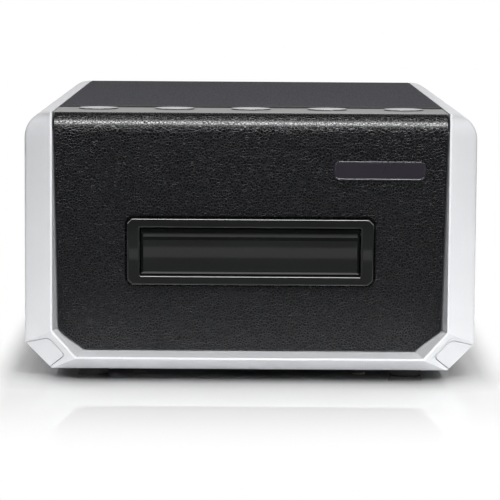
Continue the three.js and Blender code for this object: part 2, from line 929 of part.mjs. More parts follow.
function flap() {
  const outline = boxOutline(2 * flapHalfWidth, 2 * flapHalfHeight, gap);
  const backY = flapFaceY + flapThickness;
  const plate = loft([
    standing(outline, backY),
    standing(outline, flapFaceY + flapBevelDepth),
    standing(inset(outline, flapBevel), flapFaceY),
  ]);
  const below = bar(slotWidth, -overrun, backY + overrun, -slotHeight, flapPinZ);
  const knuckle = rod("x", knuckleRadius, -flapHalfWidth, flapHalfWidth, flapPinY, flapPinZ, smallSides);
  const bore = rod(
    "x",
    flapPinRadius + runningGap,
    -flapHalfWidth - overrun,
    flapHalfWidth + overrun,
    flapPinY,
    flapPinZ,
    smallSides,
  );
  const springPocket = rod(
    "x",
    springRadius + springWire / 2 + gap,
    flapHalfWidth - springRoom,
    flapHalfWidth + overrun,
    flapPinY,
    flapPinZ,
    smallSides,
  );
  return cut(join(plate.intersect(below), knuckle), bore, springPocket);
}

function flapPin() {
  const reach = slotWidth / 2 + throatWall - gap;
  return rod("x", flapPinRadius, -reach, reach, flapPinY, flapPinZ, smallSides);
}

// Torsion spring round the pin, in the hollow end of the flap's knuckle.
function flapSpring() {
  const start = flapHalfWidth - springRoom + gap + springWire / 2;
  const points = [];
  for (let i = 0; i <= springTurns * wireStepsPerTurn; i += 1) {
    const turn = i / wireStepsPerTurn;
    const angle = 2 * Math.PI * turn;
    points.push(
      new THREE.Vector3(
        start + ((springLength - springWire) * turn) / springTurns,
        flapPinY + springRadius * Math.cos(angle),
        flapPinZ + springRadius * Math.sin(angle),
      ),
    );
  }
  const curve = new THREE.CatmullRomCurve3(points);
  const section = new THREE.Shape(
    circle(springWire / 2, 0, 0, wireSides).map(([a, b]) => new THREE.Vector2(a, b)),
  );
  const steps = springTurns * wireStepsPerTurn;
  return solid(new THREE.ExtrudeGeometry(section, { steps, extrudePath: curve, bevelEnabled: false }));
}

function rubberFoot([x, y]) {
  const profile = [
    [0, 0],
    [footRadius - footTaper, 0],
    [footRadius, footTaper],
    [footRadius, undersideZ],
    [footPegRadius, undersideZ],
    [footPegRadius, undersideZ + footPegLength - footTaper],
    [footPegRadius - footTaper, undersideZ + footPegLength - footTaper / 2],
    [0, undersideZ + footPegLength - footTaper / 2],
  ];
  return shifted(turned("z", profile, footSides), x, y, 0);
}

function rearPanel() {
  const outline = inset(casingOutline(), shellWall + gap);
  const plate = slab("y", outline, rearInnerY, rearFaceY).intersect(
    bar(halfWidth, rearInnerY, rearFaceY, 0, topZ - coverWall - gap),
  );
  const slot = boxOutline(
    slotWidth + 2 * (throatWall + gap),
    slotHeight + 2 * (throatWall + gap),
    gap,
    0,
    slotZ,
  );
  const usb = boxOutline(usbWidth + 2 * gap, usbHeight + 2 * gap, gap, usbX, portZ);
  const dc = boxOutline(dcWidth + 2 * gap, usbHeight + 2 * gap, gap, dcX, portZ);
  const power = boxOutline(powerWidth + 2 * gap, powerHeight + 2 * gap, gap, powerX, powerZ);
  const vents = Array.from({ length: rearVentCount }, (_, i) =>
    boxOutline(
      rearVentWidth,
      rearVentHeight,
      rearVentWidth / 3,
      (i - (rearVentCount - 1) / 2) * rearVentPitch,
      rearVentZ,
    ),
  );
  const tools = [slot, usb, dc, power, ...vents].map((hole) =>
    slab("y", hole, rearInnerY - overrun, rearFaceY + overrun),
  );
  return cut(plate, ...tools);
}

function usbPort() {
  const [w, h] = [usbWidth / 2, usbHeight / 2];
  const [y0, y1] = [rearFaceY - usbLength, rearFaceY];
  const shell = block(usbX - w, usbX + w, y0, y1, portZ - h, portZ + h);
  const hollow = block(
    usbX - w + portWall,
    usbX + w - portWall,
    y0 + portWall,
    y1 + overrun,
    portZ - h + portWall,
    portZ + h - portWall,
  );
  const tongue = block(
    usbX - w / 2,
    usbX + w / 2,
    y0 + portWall / 2,
    y1 - 2 * portWall,
    portZ - usbTongueHeight / 2,
    portZ + usbTongueHeight / 2,
  );
  return join(cut(shell, hollow), tongue);
}

function dcInlet() {
  const [w, h] = [dcWidth / 2, usbHeight / 2];
  const [y0, y1] = [rearFaceY - dcLength, rearFaceY];
  const housing = block(dcX - w, dcX + w, y0, y1, portZ - h, portZ + h);
  const bore = rod("y", dcBoreRadius, y1 - dcBoreDepth, y1 + overrun, dcX, portZ);
  const pin = rod("y", dcPinRadius, y0 + portWall, y1 - portWall, dcX, portZ, smallSides);
  return join(cut(housing, bore), pin);
}

// Body of the power switch: a flanged box in the rear panel, open to the rear for the rocker.
function powerSwitchBody() {
  const box = boxOutline(powerWidth, powerHeight, gap, powerX, powerZ);
  const flange = boxOutline(
    powerWidth + 2 * powerFlange,
    powerHeight + 2 * powerFlange,
    gap,
    powerX,
    powerZ,
  );
  const cavity = boxOutline(powerWidth - 2 * powerFlange, powerHeight - 2 * powerFlange, gap, powerX, powerZ);
  const sockets = rod(
    "x",
    rockerPinRadius + runningGap,
    powerX - powerWidth / 2 + powerFlange - rockerPinLength - gap,
    powerX + powerWidth / 2 - powerFlange + rockerPinLength + gap,
    rearFaceY - rockerPivotDepth,
    powerZ,
    smallSides,
  );
  return cut(
    join(
      slab("y", box, rearFaceY - powerBodyDepth, rearFaceY + powerFlangeWall),
      slab("y", flange, rearFaceY, rearFaceY + powerFlangeWall),
    ),
    slab("y", cavity, rearFaceY - powerCavityDepth, rearFaceY + overrun),
    sockets,
  );
}

// Rocker on two stub pins, drawn level and then tilted to the position that it rests in.
function powerRocker() {
  const halfX = powerWidth / 2 - powerFlange - gap;
  const halfZ = powerHeight / 2 - powerFlange - gap - rockerTilt * rockerThickness;
  const outer = rockerThickness - rockerPivotDepth + powerFlangeWall / 2;
  const dip = outer / 2;
  const profile = [
    [-rockerPivotDepth, -halfZ / 2],
    [outer, -halfZ],
    [dip, 0],
    [outer, halfZ],
    [-rockerPivotDepth, halfZ / 2],
  ];
  const body = slab("x", profile, -halfX, halfX);
  const stubs = rod(
    "x",
    rockerPinRadius,
    -halfX - gap - rockerPinLength,
    halfX + gap + rockerPinLength,
    0,
    0,
    smallSides,
  );
  const place = new THREE.Matrix4().makeRotationX(-rockerTilt);
  place.setPosition(powerX, rearFaceY - rockerPivotDepth, powerZ);
  return moved(join(body, stubs), place);
}

function chassisTray() {
  const half = trayWidth / 2;
  const section = mirrored([
    [half, floorZ + trayFlange],
    [half, floorZ],
  ]);
  const inner = mirrored([
    [half - trayWall, floorZ + trayFlange + overrun],
    [half - trayWall, trayTopZ],
  ]);
  const tray = cut(
    slab("y", section, trayFrontY, trayRearY),
    slab("y", inner, trayFrontY - overrun, trayRearY + overrun),
  );
  const pegHoles = Object.values(footPlaces()).map(([x, y]) =>
    rod("z", footPegRadius + pegRoom, floorZ - overrun, trayTopZ + overrun, x, y, smallSides),
  );
  const ventHalf = (floorVentCount * floorVentPitch) / 2;
  const vent = bar(ventHalf, -floorVentLength / 2, floorVentLength / 2, floorZ - overrun, trayTopZ + overrun);
  return cut(tray, vent, ...pegHoles);
}

// Side frame of the transport: a plate with a foot turned inwards, bearing holes and slots for the bed.
function sideFrame(side) {
  const half = frameLength / 2;
  const plate = [
    [-half, trayTopZ],
    [half, trayTopZ],
    [half, frameTopZ - frameCornerCut],
    [half - frameCornerCut, frameTopZ],
    [frameCornerCut - half, frameTopZ],
    [-half, frameTopZ - frameCornerCut],
  ];
  const holes = [];
  for (const y of [-rollerY, rollerY]) {
    holes.push(circle(driveShaftRadius + runningGap, y, driveAxisZ));
    holes.push(circle(pinchAxleRadius + runningGap, y, pinchAxisZ));
  }
  for (const y of [-bedTabY, bedTabY]) {
    holes.push(boxOutline(bedTabWidth + 2 * gap, bedWall + 2 * gap, gap, y, bedTopZ - bedWall / 2));
  }
  const windowTop = driveAxisZ - driveRadius - frameWindowMargin / 2;
  const windowBottom = trayTopZ + frameWindowMargin;
  const windowHeight = windowTop - windowBottom;
  const windowMiddle = (windowTop + windowBottom) / 2;
  for (let i = 0; i < frameWindowCount; i += 1) {
    const y = (i - (frameWindowCount - 1) / 2) * frameWindowPitch;
    holes.push(boxOutline(frameWindowWidth, windowHeight, windowHeight / 4, y, windowMiddle));
  }
  const ends = [frameX, frameOuterX].map((x) => side * x).sort((a, b) => a - b);
  const sheet = slab("x", plate, ends[0], ends[1], holes);
  const footEnds = [frameX - frameFoot, frameOuterX].map((x) => side * x).sort((a, b) => a - b);
  const foot = block(footEnds[0], footEnds[1], -half, half, trayTopZ, trayTopZ + frameWall);
  const made = [sheet, foot];
  if (side > 0) {
    for (const y of [-idlerY, idlerY]) {
      made.push(rod("x", idlerStudRadius, frameX, gearEndX + gap, y, driveAxisZ));
    }
  }
  return join(...made);
}

// Floor of the film channel with a rail at each side, windows for the rubber tyres and the scanning slit.
function filmBed() {
  const outer = channelHalf + railWidth;
  const underZ = bedTopZ - bedWall;
  const floor = slab("x", [
    [bedFrontY, underZ - bedWall],
    [bedFrontY + leadIn, underZ],
    [bedRearY, underZ],
    [bedRearY, bedTopZ],
    [bedFrontY + leadIn, bedTopZ],
    [bedFrontY, bedTopZ - bedWall],
  ], -outer, outer);
  const rails = [-1, 1].map((side) => {
    const ends = [channelHalf, outer].map((x) => side * x).sort((a, b) => a - b);
    return block(ends[0], ends[1], bedFrontY + leadIn, bedRearY, bedTopZ - bedWall / 2, guideBottomZ);
  });
  const tabs = [-bedTabY, bedTabY].map((y) =>
    bar(frameOuterX, y - bedTabWidth / 2, y + bedTabWidth / 2, underZ, bedTopZ),
  );
  const tyreHalf = tyreWidth / 2 + windowGap;
  const windows = [];
  for (const y of [-rollerY, rollerY]) {
    for (const x of [-tyreOffset, tyreOffset]) {
      const reach = driveRadius + windowGap;
      windows.push(block(x - tyreHalf, x + tyreHalf, y - reach, y + reach, underZ - overrun, bedTopZ + gap));
    }
  }
  const slit = bar(slitLength / 2, -slitWidth / 2, slitWidth / 2, underZ - overrun, bedTopZ + overrun);
  return cut(join(floor, ...rails, ...tabs), ...windows, slit);
}

// Lid of the film channel, which lies on the rails.
function filmGuide() {
  const outer = channelHalf + railWidth;
  const lid = slab("x", [
    [bedFrontY + leadIn, guideBottomZ],
    [bedRearY, guideBottomZ],
    [bedRearY, guideTopZ],
    [bedFrontY + leadIn, guideTopZ],
    [bedFrontY, guideTopZ + guideWall],
    [bedFrontY, guideTopZ],
  ], -outer, outer);
  const tyreHalf = tyreWidth / 2 + windowGap;
  const windows = [];
  for (const y of [-rollerY, rollerY]) {
    for (const x of [-tyreOffset, tyreOffset]) {
      const reach = pinchRadius + windowGap;
      windows.push(block(x - tyreHalf, x + tyreHalf, y - reach, y + reach, nipTopZ, guideTopZ + overrun));
    }
  }
  const slit = bar(slitLength / 2, -slitWidth / 2, slitWidth / 2, nipTopZ, guideTopZ + overrun);
  return cut(lid, ...windows, slit);
}

function tyreProfile(tyreRadius, coreRadius, boreRadius, end) {
  const [inner, outer] = [tyreOffset - tyreWidth / 2, tyreOffset + tyreWidth / 2];
  const right = [
    [coreRadius, inner],
    [tyreRadius, inner],
    [tyreRadius, outer],
    [coreRadius, outer],
    [coreRadius, end],
    [boreRadius, end],
  ];
  const left = right.map(([radius, x]) => [radius, -x]).reverse();
  return [...left, ...right];
}

// Rubber sleeve with two tyres, pressed on its steel shaft.
function driveRoller(y) {
  const end = frameX - windowGap;
  const profile = tyreProfile(driveRadius, driveCoreRadius, driveShaftRadius + pressGap, end);
  return shifted(turned("x", [...profile, profile[0]], rollerSides), 0, y, driveAxisZ);
}

function driveShaft(y) {
  return rod("x", driveShaftRadius, -frameOuterX - shaftOverhang, gearEndX + gap, y, driveAxisZ);
}

// Pinch roller, moulded in one with its axle.
function pinchRoller(y) {
  const end = frameOuterX + gearStandoff / 2;
  const profile = tyreProfile(pinchRadius, pinchAxleRadius, 0, end);
  return shifted(turned("x", profile, rollerSides), 0, y, pinchAxisZ);
}

// Teeth with straight flanks; the first is centred on the outline's first axis, turned by a share of a tooth.
function gearOutline(teeth, toothShift) {
  const pitchRadius = (gearModule * teeth) / 2;
  const halfTooth = (Math.PI * gearModule) / 4 - backlash / 2;
  const halfAt = (radius) => (halfTooth - (radius - pitchRadius) * Math.tan(pressureAngle)) / radius;
  const tip = pitchRadius + gearModule * addendumShare;
  const root = pitchRadius - gearModule * dedendumShare;
  const points = [];
  for (let i = 0; i < teeth; i += 1) {
    const middle = (2 * Math.PI * (i + toothShift)) / teeth;
    for (const [radius, side] of [[root, -1], [tip, -1], [tip, 1], [root, 1]]) {
      const angle = middle + side * halfAt(radius);
      points.push([radius * Math.cos(angle), radius * Math.sin(angle)]);
    }
  }
  return points;
}

function gear(teeth, toothShift, boreRadius, y) {
  const toothed = slab("x", gearOutline(teeth, toothShift), gearX, gearEndX);
  const bore = rod("x", boreRadius, gearX - overrun, gearEndX + overrun);
  const rootRadius = (gearModule * teeth) / 2 - gearModule * dedendumShare;
  const hubRadius = boreRadius + 2 * gearModule;
  const rimRadius = rootRadius * idlerRimShare;
  const tools = [bore];
  if (rimRadius - hubRadius > gearModule) {
    const hub = circle(hubRadius);
    tools.push(slab("x", circle(rimRadius), gearX + idlerWeb, gearEndX + overrun, [hub]));
  }
  return shifted(cut(toothed, ...tools), 0, y, driveAxisZ);
}

// Pinion with the motor's shaft in it.
function motorPinion() {
  const toothed = slab("x", gearOutline(pinionTeeth, 0), gearX, gearEndX);
  const shaft = rod("x", motorShaftRadius, gearX - gap, motorX + motorShaftDepth, 0, 0, smallSides);
  return shifted(join(toothed, shaft), 0, 0, driveAxisZ);
}

function motorEars(grow) {
  const halfLength = motorRadius + motorEarReach + grow;
  const points = [];
  for (const way of [1, -1]) {
    const half = smallSides / 2;
    for (let i = 0; i <= half; i += 1) {
      const angle = (Math.PI * i) / half + (way > 0 ? 0 : Math.PI);
      points.push([
        (motorEarReach + grow) * Math.cos(angle),
        way * (halfLength - motorEarReach - grow) + (motorEarReach + grow) * Math.sin(angle),
      ]);
    }
  }
  return points;
}

function driveMotor() {
  const edge = motorEarWall;
  const can = turned("x", [
    [0, motorX],
    [motorRadius, motorX],
    [motorRadius, motorX + motorLength - edge],
    [motorRadius - edge, motorX + motorLength],
    [0, motorX + motorLength],
  ]);
  const boss = rod("x", motorBossRadius, bracketX + gap, motorX + motorEarWall);
  const ears = slab("x", motorEars(0), motorX, motorX + motorEarWall);
  const bore = rod(
    "x",
    motorShaftRadius + runningGap,
    bracketX - overrun,
    motorX + motorShaftDepth + gap,
    0,
    0,
    smallSides,
  );
  return shifted(cut(join(can, boss, ears), bore), 0, 0, driveAxisZ);
}

// Bracket that carries the motor, on four spacers that stand on the right-hand frame.
function motorBracket() {
  const sheet = slab(
    "x",
    boxOutline(bracketWidth, bracketWidth, frameCornerCut, 0, driveAxisZ),
    bracketX,
    motorX,
    [circle(motorBossRadius + gap, 0, driveAxisZ)],
  );
  const spacers = [-1, 1].flatMap((end) =>
    [-1, 1].map((level) =>
      rod(
        "x",
        spacerRadius,
        frameOuterX,
        motorX - bracketWall / 2,
        end * spacerOffsetY,
        driveAxisZ + level * spacerOffsetZ,
        smallSides,
      ),
    ),
  );
  return join(sheet, ...spacers);
}

// Lamp housing over the scanning line: a box that is open below, with cooling fins on its roof.
function lampHousing() {
  const [w, d] = [lampWidth / 2, lampDepth / 2];
  const roof = guideTopZ + lampHeight;
  const box = bar(w, -d, d, guideTopZ, roof);
  const hollow = bar(w - lampWall, lampWall - d, d - lampWall, guideTopZ - overrun, roof - lampWall);
  const fins = Array.from({ length: lampFinCount }, (_, i) => {
    const x = (i - (lampFinCount - 1) / 2) * (lampWidth / lampFinCount);
    return block(x - lampWall / 2, x + lampWall / 2, -d, d, roof - lampWall / 2, roof + lampFinHeight);
  });
  return join(cut(box, hollow), ...fins);
}

function lampBoard() {
  const [w, d] = [lampWidth / 2 - lampWall - gap, lampDepth / 2 - lampWall - gap];
  const under = guideTopZ + lampHeight - lampWall;
  const board = bar(w, -d, d, under - boardWall, under);
  const lampCount = 5;
  const half = slitWidth / 2;
  const lamps = Array.from({ length: lampCount }, (_, i) => {
    const x = (i - (lampCount - 1) / 2) * (slitLength / lampCount);
    return block(x - half, x + half, -half, half, under - boardWall - half / 2, under - boardWall / 2);
  });
  return join(board, ...lamps);
}

function diffuserPlate() {
  const [w, d] = [lampWidth / 2 - lampWall - gap, lampDepth / 2 - lampWall - gap];
  return bar(w, -d, d, guideTopZ, guideTopZ + diffuserWall);
}

// Mirror at 45 degrees under the slit: it turns the light from straight down to straight back.
function mirrorMatrix() {
  return new THREE.Matrix4().makeRotationX(-Math.PI / 4).setPosition(0, 0, opticsZ);
}

function scanMirror() {
  const plate = bar(mirrorLength / 2, -mirrorHeight / 2, mirrorHeight / 2, -mirrorWall, 0);
  return moved(plate, mirrorMatrix());
}

// Trough that holds the mirror, the lens and the sensor board in line.
function opticsTray() {
  const half = opticsWidth / 2;
  const box = bar(half, opticsFrontY, opticsRearY, trayTopZ, opticsTopZ);
  const hollow = bar(
    half - opticsWall,
    opticsFrontY + opticsWall,
    opticsRearY - opticsWall,
    trayTopZ + opticsWall,
    opticsTopZ + overrun,
  );
  const rampFront = opticsFrontY + opticsWall / 2;
  const rampFoot = trayTopZ + opticsWall / 2;
  const rampSum = opticsZ - (mirrorWall + gap) * Math.SQRT2;
  const rampHead = rampSum + mirrorHeight / 2;
  const rampOutline = [
    [rampFront, rampFoot],
    [rampSum - rampFoot, rampFoot],
    [-mirrorHeight / 2, rampHead],
    [rampFront, rampHead],
  ];
  const ramp = slab("x", rampOutline, opticsWall / 2 - half, half - opticsWall / 2);
  const saddle = bar(
    lensRadius + clampWall + opticsWall,
    lensY - saddleLength / 2,
    lensY + saddleLength / 2,
    trayTopZ + opticsWall / 2,
    opticsZ,
  );
  const cradle = rod("y", lensRadius + gap, lensY - saddleLength, lensY + saddleLength, 0, opticsZ);
  const seats = [-1, 1].map((side) => {
    const ends = [half - 2 * opticsWall, half - opticsWall / 2].map((x) => side * x).sort((a, b) => a - b);
    return block(
      ends[0],
      ends[1],
      sensorBoardY - opticsWall - gap,
      sensorBoardY + boardWall + opticsWall + gap,
      trayTopZ + opticsWall / 2,
      opticsTopZ,
    );
  });
  const boardSlot = bar(
    half - opticsWall,
    sensorBoardY - gap,
    sensorBoardY + boardWall + gap,
    trayTopZ + opticsWall + gap,
    opticsTopZ + overrun,
  );
  const carved = cut(join(saddle, ...seats), cradle);
  return cut(join(cut(box, hollow), ramp, carved), boardSlot);
}

function lensBarrel() {
  const [front, back] = [-lensLength / 2, lensLength / 2];
  const barrel = turned("y", [
    [lensBoreRadius, front],
    [lensNoseRadius, front],
    [lensNoseRadius, front + lensNoseLength],
    [lensRadius, front + lensNoseLength],
    [lensRadius, back],
    [lensBoreRadius, back],
    [lensBoreRadius, front],
  ]);
  return shifted(barrel, 0, lensY, opticsZ);
}

function lensGlass() {
  const front = -lensLength / 2 + lensNoseLength;
  const radius = lensBoreRadius - pressGap;
  const bulge = lensGlassWall / 4;
  const glass = turned("y", [
    [0, front - bulge],
    [radius / 2, front - bulge * 0.75],
    [radius, front],
    [radius, front + lensGlassWall],
    [0, front + lensGlassWall],
  ], rollerSides);
  return shifted(glass, 0, lensY, opticsZ);
}

// Strap over the lens barrel, with a foot at each side on the saddle.
function lensClamp() {
  const bore = lensRadius + gap;
  const outer = bore + clampWall;
  const foot = lensRadius + clampWall + opticsWall;
  const [y0, y1] = [lensY - saddleLength / 2 + clampWall, lensY + saddleLength / 2 - clampWall];
  const ring = rod("y", outer, y0, y1, 0, opticsZ);
  const hole = rod("y", bore, y0 - overrun, y1 + overrun, 0, opticsZ);
  const feet = bar(foot, y0, y1, opticsZ, opticsZ + clampWall);
  const upper = bar(foot, y0, y1, opticsZ, opticsZ + outer + overrun);
  return cut(join(ring, feet).intersect(upper), hole);
}

function sensorBoard() {
  const half = opticsWidth / 2 - opticsWall - gap;
  const underZ = trayTopZ + opticsWall + 2 * gap;
  const board = bar(half, sensorBoardY, sensorBoardY + boardWall, underZ, opticsTopZ);
  const chip = bar(
    sensorLength / 2,
    sensorBoardY - sensorDepth,
    sensorBoardY + boardWall / 2,
    opticsZ - sensorHeight / 2,
    opticsZ + sensorHeight / 2,
  );
  return join(board, chip);
}

// Main board on top of the two side frames, with its larger components.
function mainBoard() {
  const under = frameTopZ;
  const top = under + boardWall;
  const rear = rearInnerY - gap;
  const board = bar(mainBoardWidth / 2, mainBoardFrontY, rear, under, top);
  const seat = top - boardWall / 2;
  const processor = block(
    -mainBoardWidth / 8,
    mainBoardWidth / 8,
    mainBoardFrontY + mainBoardWidth / 8,
    mainBoardFrontY + (3 * mainBoardWidth) / 8,
    seat,
    top + chipHeight,
  );
  const memory = block(
    mainBoardWidth / 4,
    mainBoardWidth / 3,
    mainBoardFrontY + mainBoardWidth / 8,
    mainBoardFrontY + (3 * mainBoardWidth) / 8,
    seat,
    top + chipHeight,
  );
  const capacitors = [-1, 0, 1].map((i) =>
    rod(
      "z",
      capacitorRadius,
      seat,
      top + capacitorHeight,
      -mainBoardWidth / 3,
      mainBoardFrontY + mainBoardWidth / 3 + 3 * i * capacitorRadius,
      smallSides,
    ),
  );
  const notch = block(
    powerX - powerWidth / 2 - boardNotchMargin,
    mainBoardWidth,
    rearFaceY - powerBodyDepth - boardNotchMargin,
    rear + overrun,
    under - overrun,
    top + overrun,
  );
  return cut(join(board, processor, memory, ...capacitors), notch);
}

// Materials, from the photograph where it shows the piece
function plastic(color, roughness) {
  return new THREE.MeshStandardMaterial({ color, roughness, metalness: 0 });
}

function metal(color, roughness) {
  return new THREE.MeshStandardMaterial({ color, roughness, metalness: 1 });
}

const silverPaint = plastic(0xd3d5da, 0.4);
const leather = plastic(0x1d1e21, 0.55);
const stripGrey = plastic(0x9a9a98, 0.35);
const glossBlack = plastic(0x1d1f22, 0.12);
const mattBlack = plastic(0x222225, 0.7);
const rubber = plastic(0x17171a, 0.9);
const chrome = metal(0xe4e6ea, 0.12);
const sheetSteel = metal(0xb4b7ba, 0.45);
const shaftSteel = metal(0xc9ccd0, 0.25);
const motorSteel = metal(0x8e9194, 0.5);
const gearWhite = plastic(0xe8e6dc, 0.5);
const boardGreen = plastic(0x1f5a38, 0.5);
const lampWhite = plastic(0xf2f2ee, 0.6);
const mirrorGlass = metal(0xeef2f4, 0.05);
const lensGlassLook = plastic(0x9fb6c4, 0.05);

const scanner = new THREE.Group();

function piece(name, made, material, parent = scanner) {
  const mesh = new THREE.Mesh(geometryOf(made), material);
  mesh.name = name;
  parent.add(mesh);
}

// Casing
piece("silver_shell", silverShell(), silverPaint);
piece("corner_pad_left", cornerPad(-1), silverPaint);
piece("corner_pad_right", cornerPad(1), silverPaint);
piece("front_panel", frontPanel(), leather);
piece("top_cover", topCover(), leather);
piece("rear_panel", rearPanel(), mattBlack);
for (const [corner, place] of Object.entries(footPlaces())) {
  piece(`foot_${corner}`, rubberFoot(place), rubber);
}

// Buttons
piece("control_strip", controlStrip(), stripGrey);
piece("button_board", buttonBoard(), boardGreen);
buttonPlaces().forEach((x, i) => piece(`button_${i + 1}`, button(x), chrome));

// Front of the slot, in the plane of the leaning panel
const face = new THREE.Group();
face.applyMatrix4(faceMatrix());
scanner.add(face);
piece("slot_bezel", slotBezel(throatDepth), glossBlack, face);
piece("front_flap", flap(), glossBlack, face);
piece("front_flap_pin", flapPin(), shaftSteel, face);
piece("front_flap_spring", flapSpring(), shaftSteel, face);
piece("badge_plate", badgePlate(), glossBlack, face);

// Rear of the slot, turned to face backwards
const rear = new THREE.Group();
rear.position.set(0, rearFaceY, slotZ);
rear.rotation.z = Math.PI;
scanner.add(rear);
piece("rear_bezel", slotBezel(rearThroatDepth), mattBlack, rear);
piece("rear_flap", flap(), mattBlack, rear);
piece("rear_flap_pin", flapPin(), shaftSteel, rear);
piece("rear_flap_spring", flapSpring(), shaftSteel, rear);

// Sockets and power switch
piece("usb_port", usbPort(), sheetSteel);
piece("dc_inlet", dcInlet(), mattBlack);
piece("power_switch_body", powerSwitchBody(), mattBlack);
piece("power_rocker", powerRocker(), mattBlack);

// Transport
piece("chassis_tray", chassisTray(), sheetSteel);
piece("side_frame_left", sideFrame(-1), sheetSteel);
piece("side_frame_right", sideFrame(1), sheetSteel);
piece("film_bed", filmBed(), mattBlack);
piece("film_guide", filmGuide(), mattBlack);
for (const [end, y] of [["front", -rollerY], ["rear", rollerY]]) {
  piece(`${end}_drive_shaft`, driveShaft(y), shaftSteel);
  piece(`${end}_drive_roller`, driveRoller(y), rubber);
  piece(`${end}_pinch_roller`, pinchRoller(y), rubber);
  piece(`${end}_roller_gear`, gear(rollerTeeth, 0, driveShaftRadius + pressGap, y), gearWhite);
}
piece("front_idler_gear", gear(idlerTeeth, 0.5, idlerStudRadius + runningGap, -idlerY), gearWhite);
piece("rear_idler_gear", gear(idlerTeeth, 0.5, idlerStudRadius + runningGap, idlerY), gearWhite);
piece("motor_pinion", motorPinion(), shaftSteel);
piece("drive_motor", driveMotor(), motorSteel);
piece("motor_bracket", motorBracket(), sheetSteel);

// Lamp, optics and electronics
piece("lamp_housing", lampHousing(), sheetSteel);
piece("lamp_board", lampBoard(), lampWhite);
piece("diffuser_plate", diffuserPlate(), lampWhite);
piece("optics_tray", opticsTray(), mattBlack);
piece("scan_mirror", scanMirror(), mirrorGlass);
piece("lens_barrel", lensBarrel(), mattBlack);
piece("lens_glass", lensGlass(), lensGlassLook);
piece("lens_clamp", lensClamp(), sheetSteel);
piece("sensor_board", sensorBoard(), boardGreen);
piece("main_board", mainBoard(), boardGreen);

export default scanner;
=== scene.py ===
"""Looks of a desktop film scanner: silver casing, leather-grained front and top, chromed buttons."""

import json
import math

import bmesh
import bpy
from mathutils import Matrix, Vector
from mathutils.bvhtree import BVHTree

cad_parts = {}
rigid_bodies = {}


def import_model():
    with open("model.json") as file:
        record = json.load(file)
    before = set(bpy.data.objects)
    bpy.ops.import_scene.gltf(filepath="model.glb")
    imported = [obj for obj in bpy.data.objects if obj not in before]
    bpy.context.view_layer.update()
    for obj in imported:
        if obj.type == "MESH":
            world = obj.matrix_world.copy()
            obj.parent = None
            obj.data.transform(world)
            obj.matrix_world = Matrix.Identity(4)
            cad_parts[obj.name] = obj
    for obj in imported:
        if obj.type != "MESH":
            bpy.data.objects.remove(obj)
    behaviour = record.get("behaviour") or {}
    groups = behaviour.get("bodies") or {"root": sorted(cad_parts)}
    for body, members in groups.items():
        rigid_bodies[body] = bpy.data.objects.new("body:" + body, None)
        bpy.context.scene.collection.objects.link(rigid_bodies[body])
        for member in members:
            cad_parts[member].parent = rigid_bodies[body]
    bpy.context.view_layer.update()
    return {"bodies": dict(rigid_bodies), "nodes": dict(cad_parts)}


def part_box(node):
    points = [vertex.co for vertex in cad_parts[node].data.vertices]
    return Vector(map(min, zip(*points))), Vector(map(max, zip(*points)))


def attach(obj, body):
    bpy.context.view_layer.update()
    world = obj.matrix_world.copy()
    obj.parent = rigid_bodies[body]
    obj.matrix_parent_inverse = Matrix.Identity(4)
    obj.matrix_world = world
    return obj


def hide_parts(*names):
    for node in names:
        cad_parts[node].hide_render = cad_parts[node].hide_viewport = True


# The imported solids, and their box before anything is dressed.
# All lengths below are in metres; mm makes them readable.
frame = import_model()
mm = 0.001
scene = bpy.context.scene
scene.view_settings.view_transform = "Standard"

# The camera stands a metre in front of the scanner, a little above it, with a long lens.
# Its place, tilt and lens are those that make the corners of the casing fall as in the photograph.
picture_side = 500
focal_pixels = 2631.6
camera_place = Vector((-2.03, -1133.7, 162.24)) * mm
camera_down = math.radians(6.30)
camera_right = math.radians(0.11)
camera_roll = math.radians(0.38)


def photograph_camera():
    data = bpy.data.cameras.new("camera")
    data.sensor_width = 36
    data.lens = focal_pixels / picture_side * data.sensor_width
    data.clip_start = 0.05
    data.clip_end = 60
    forward = Vector(
        (
            math.sin(camera_right) * math.cos(camera_down),
            math.cos(camera_right) * math.cos(camera_down),
            -math.sin(camera_down),
        )
    )
    level = Vector((math.cos(camera_right), -math.sin(camera_right), 0))
    upright = level.cross(forward)
    right = level * math.cos(camera_roll) + upright * math.sin(camera_roll)
    up = upright * math.cos(camera_roll) - level * math.sin(camera_roll)
    camera = bpy.data.objects.new("camera", data)
    turn = Matrix((right, up, -forward)).transposed()
    camera.matrix_world = Matrix.Translation(camera_place) @ turn.to_4x4()
    scene.collection.objects.link(camera)
    scene.camera = camera


photograph_camera()

# The studio: a glossy white table top in a white room, soft lamps in front, above and at the sides,
# and a dim room behind the camera that the black pieces reflect.
table_radius = 0.75
# The camera sees pale laminate with a sheen in front of the scanner, darkened close to the scanner by
# painted shade. It fades to plain white with the distance beside and before the scanner's footprint.
table_seen = 0.80
table_gloss = 0.35
table_polish = 0.04
gloss_span = (-0.32, -0.118)
fade_half = (0.088, 0.115)
fade_slope = (12.0, 1.0)
fade_span = (0.03, 0.21)
# How far the painted shade reaches: within it an occlusion node darkens the table's colour.
corner_shade = 0.03
# Painted bounce light: for light that bounces onto the scanner, the laminate's colour is white under the
# scanner and dark further away.
bounce_white = (0.85, 0.25)
bounce_half = (0.075, 0.115)
bounce_span = (0.07, 0.20)
# Painted reflections: the scanner's gloss sees the table in a colour set by how far in front it lies: dim,
# with one painted bright band, and white close to the scanner.
mirror_white = (0.13, 0.20)
mirror_span = (-0.32, -0.295)
mirror_close = (-0.225, -0.19)
mirror_close_white = 0.52
mirror_band_rise = (-0.286, -0.283)
mirror_band_drop = (-0.271, -0.268)
mirror_band_white = 0.32
# The room's brightness from its front to its back, for light and for reflections.
room_light = (-0.35, 0.25, 0.08, 0.48)
room_mirror = (0.80, 0.93, 0.04, 0.6)


def link_object(name, mesh):
    piece = bpy.data.objects.new(name, mesh)
    scene.collection.objects.link(piece)
    return piece


def empty_nodes(owner):
    owner.use_nodes = True
    owner.node_tree.nodes.clear()
    return owner.node_tree.nodes


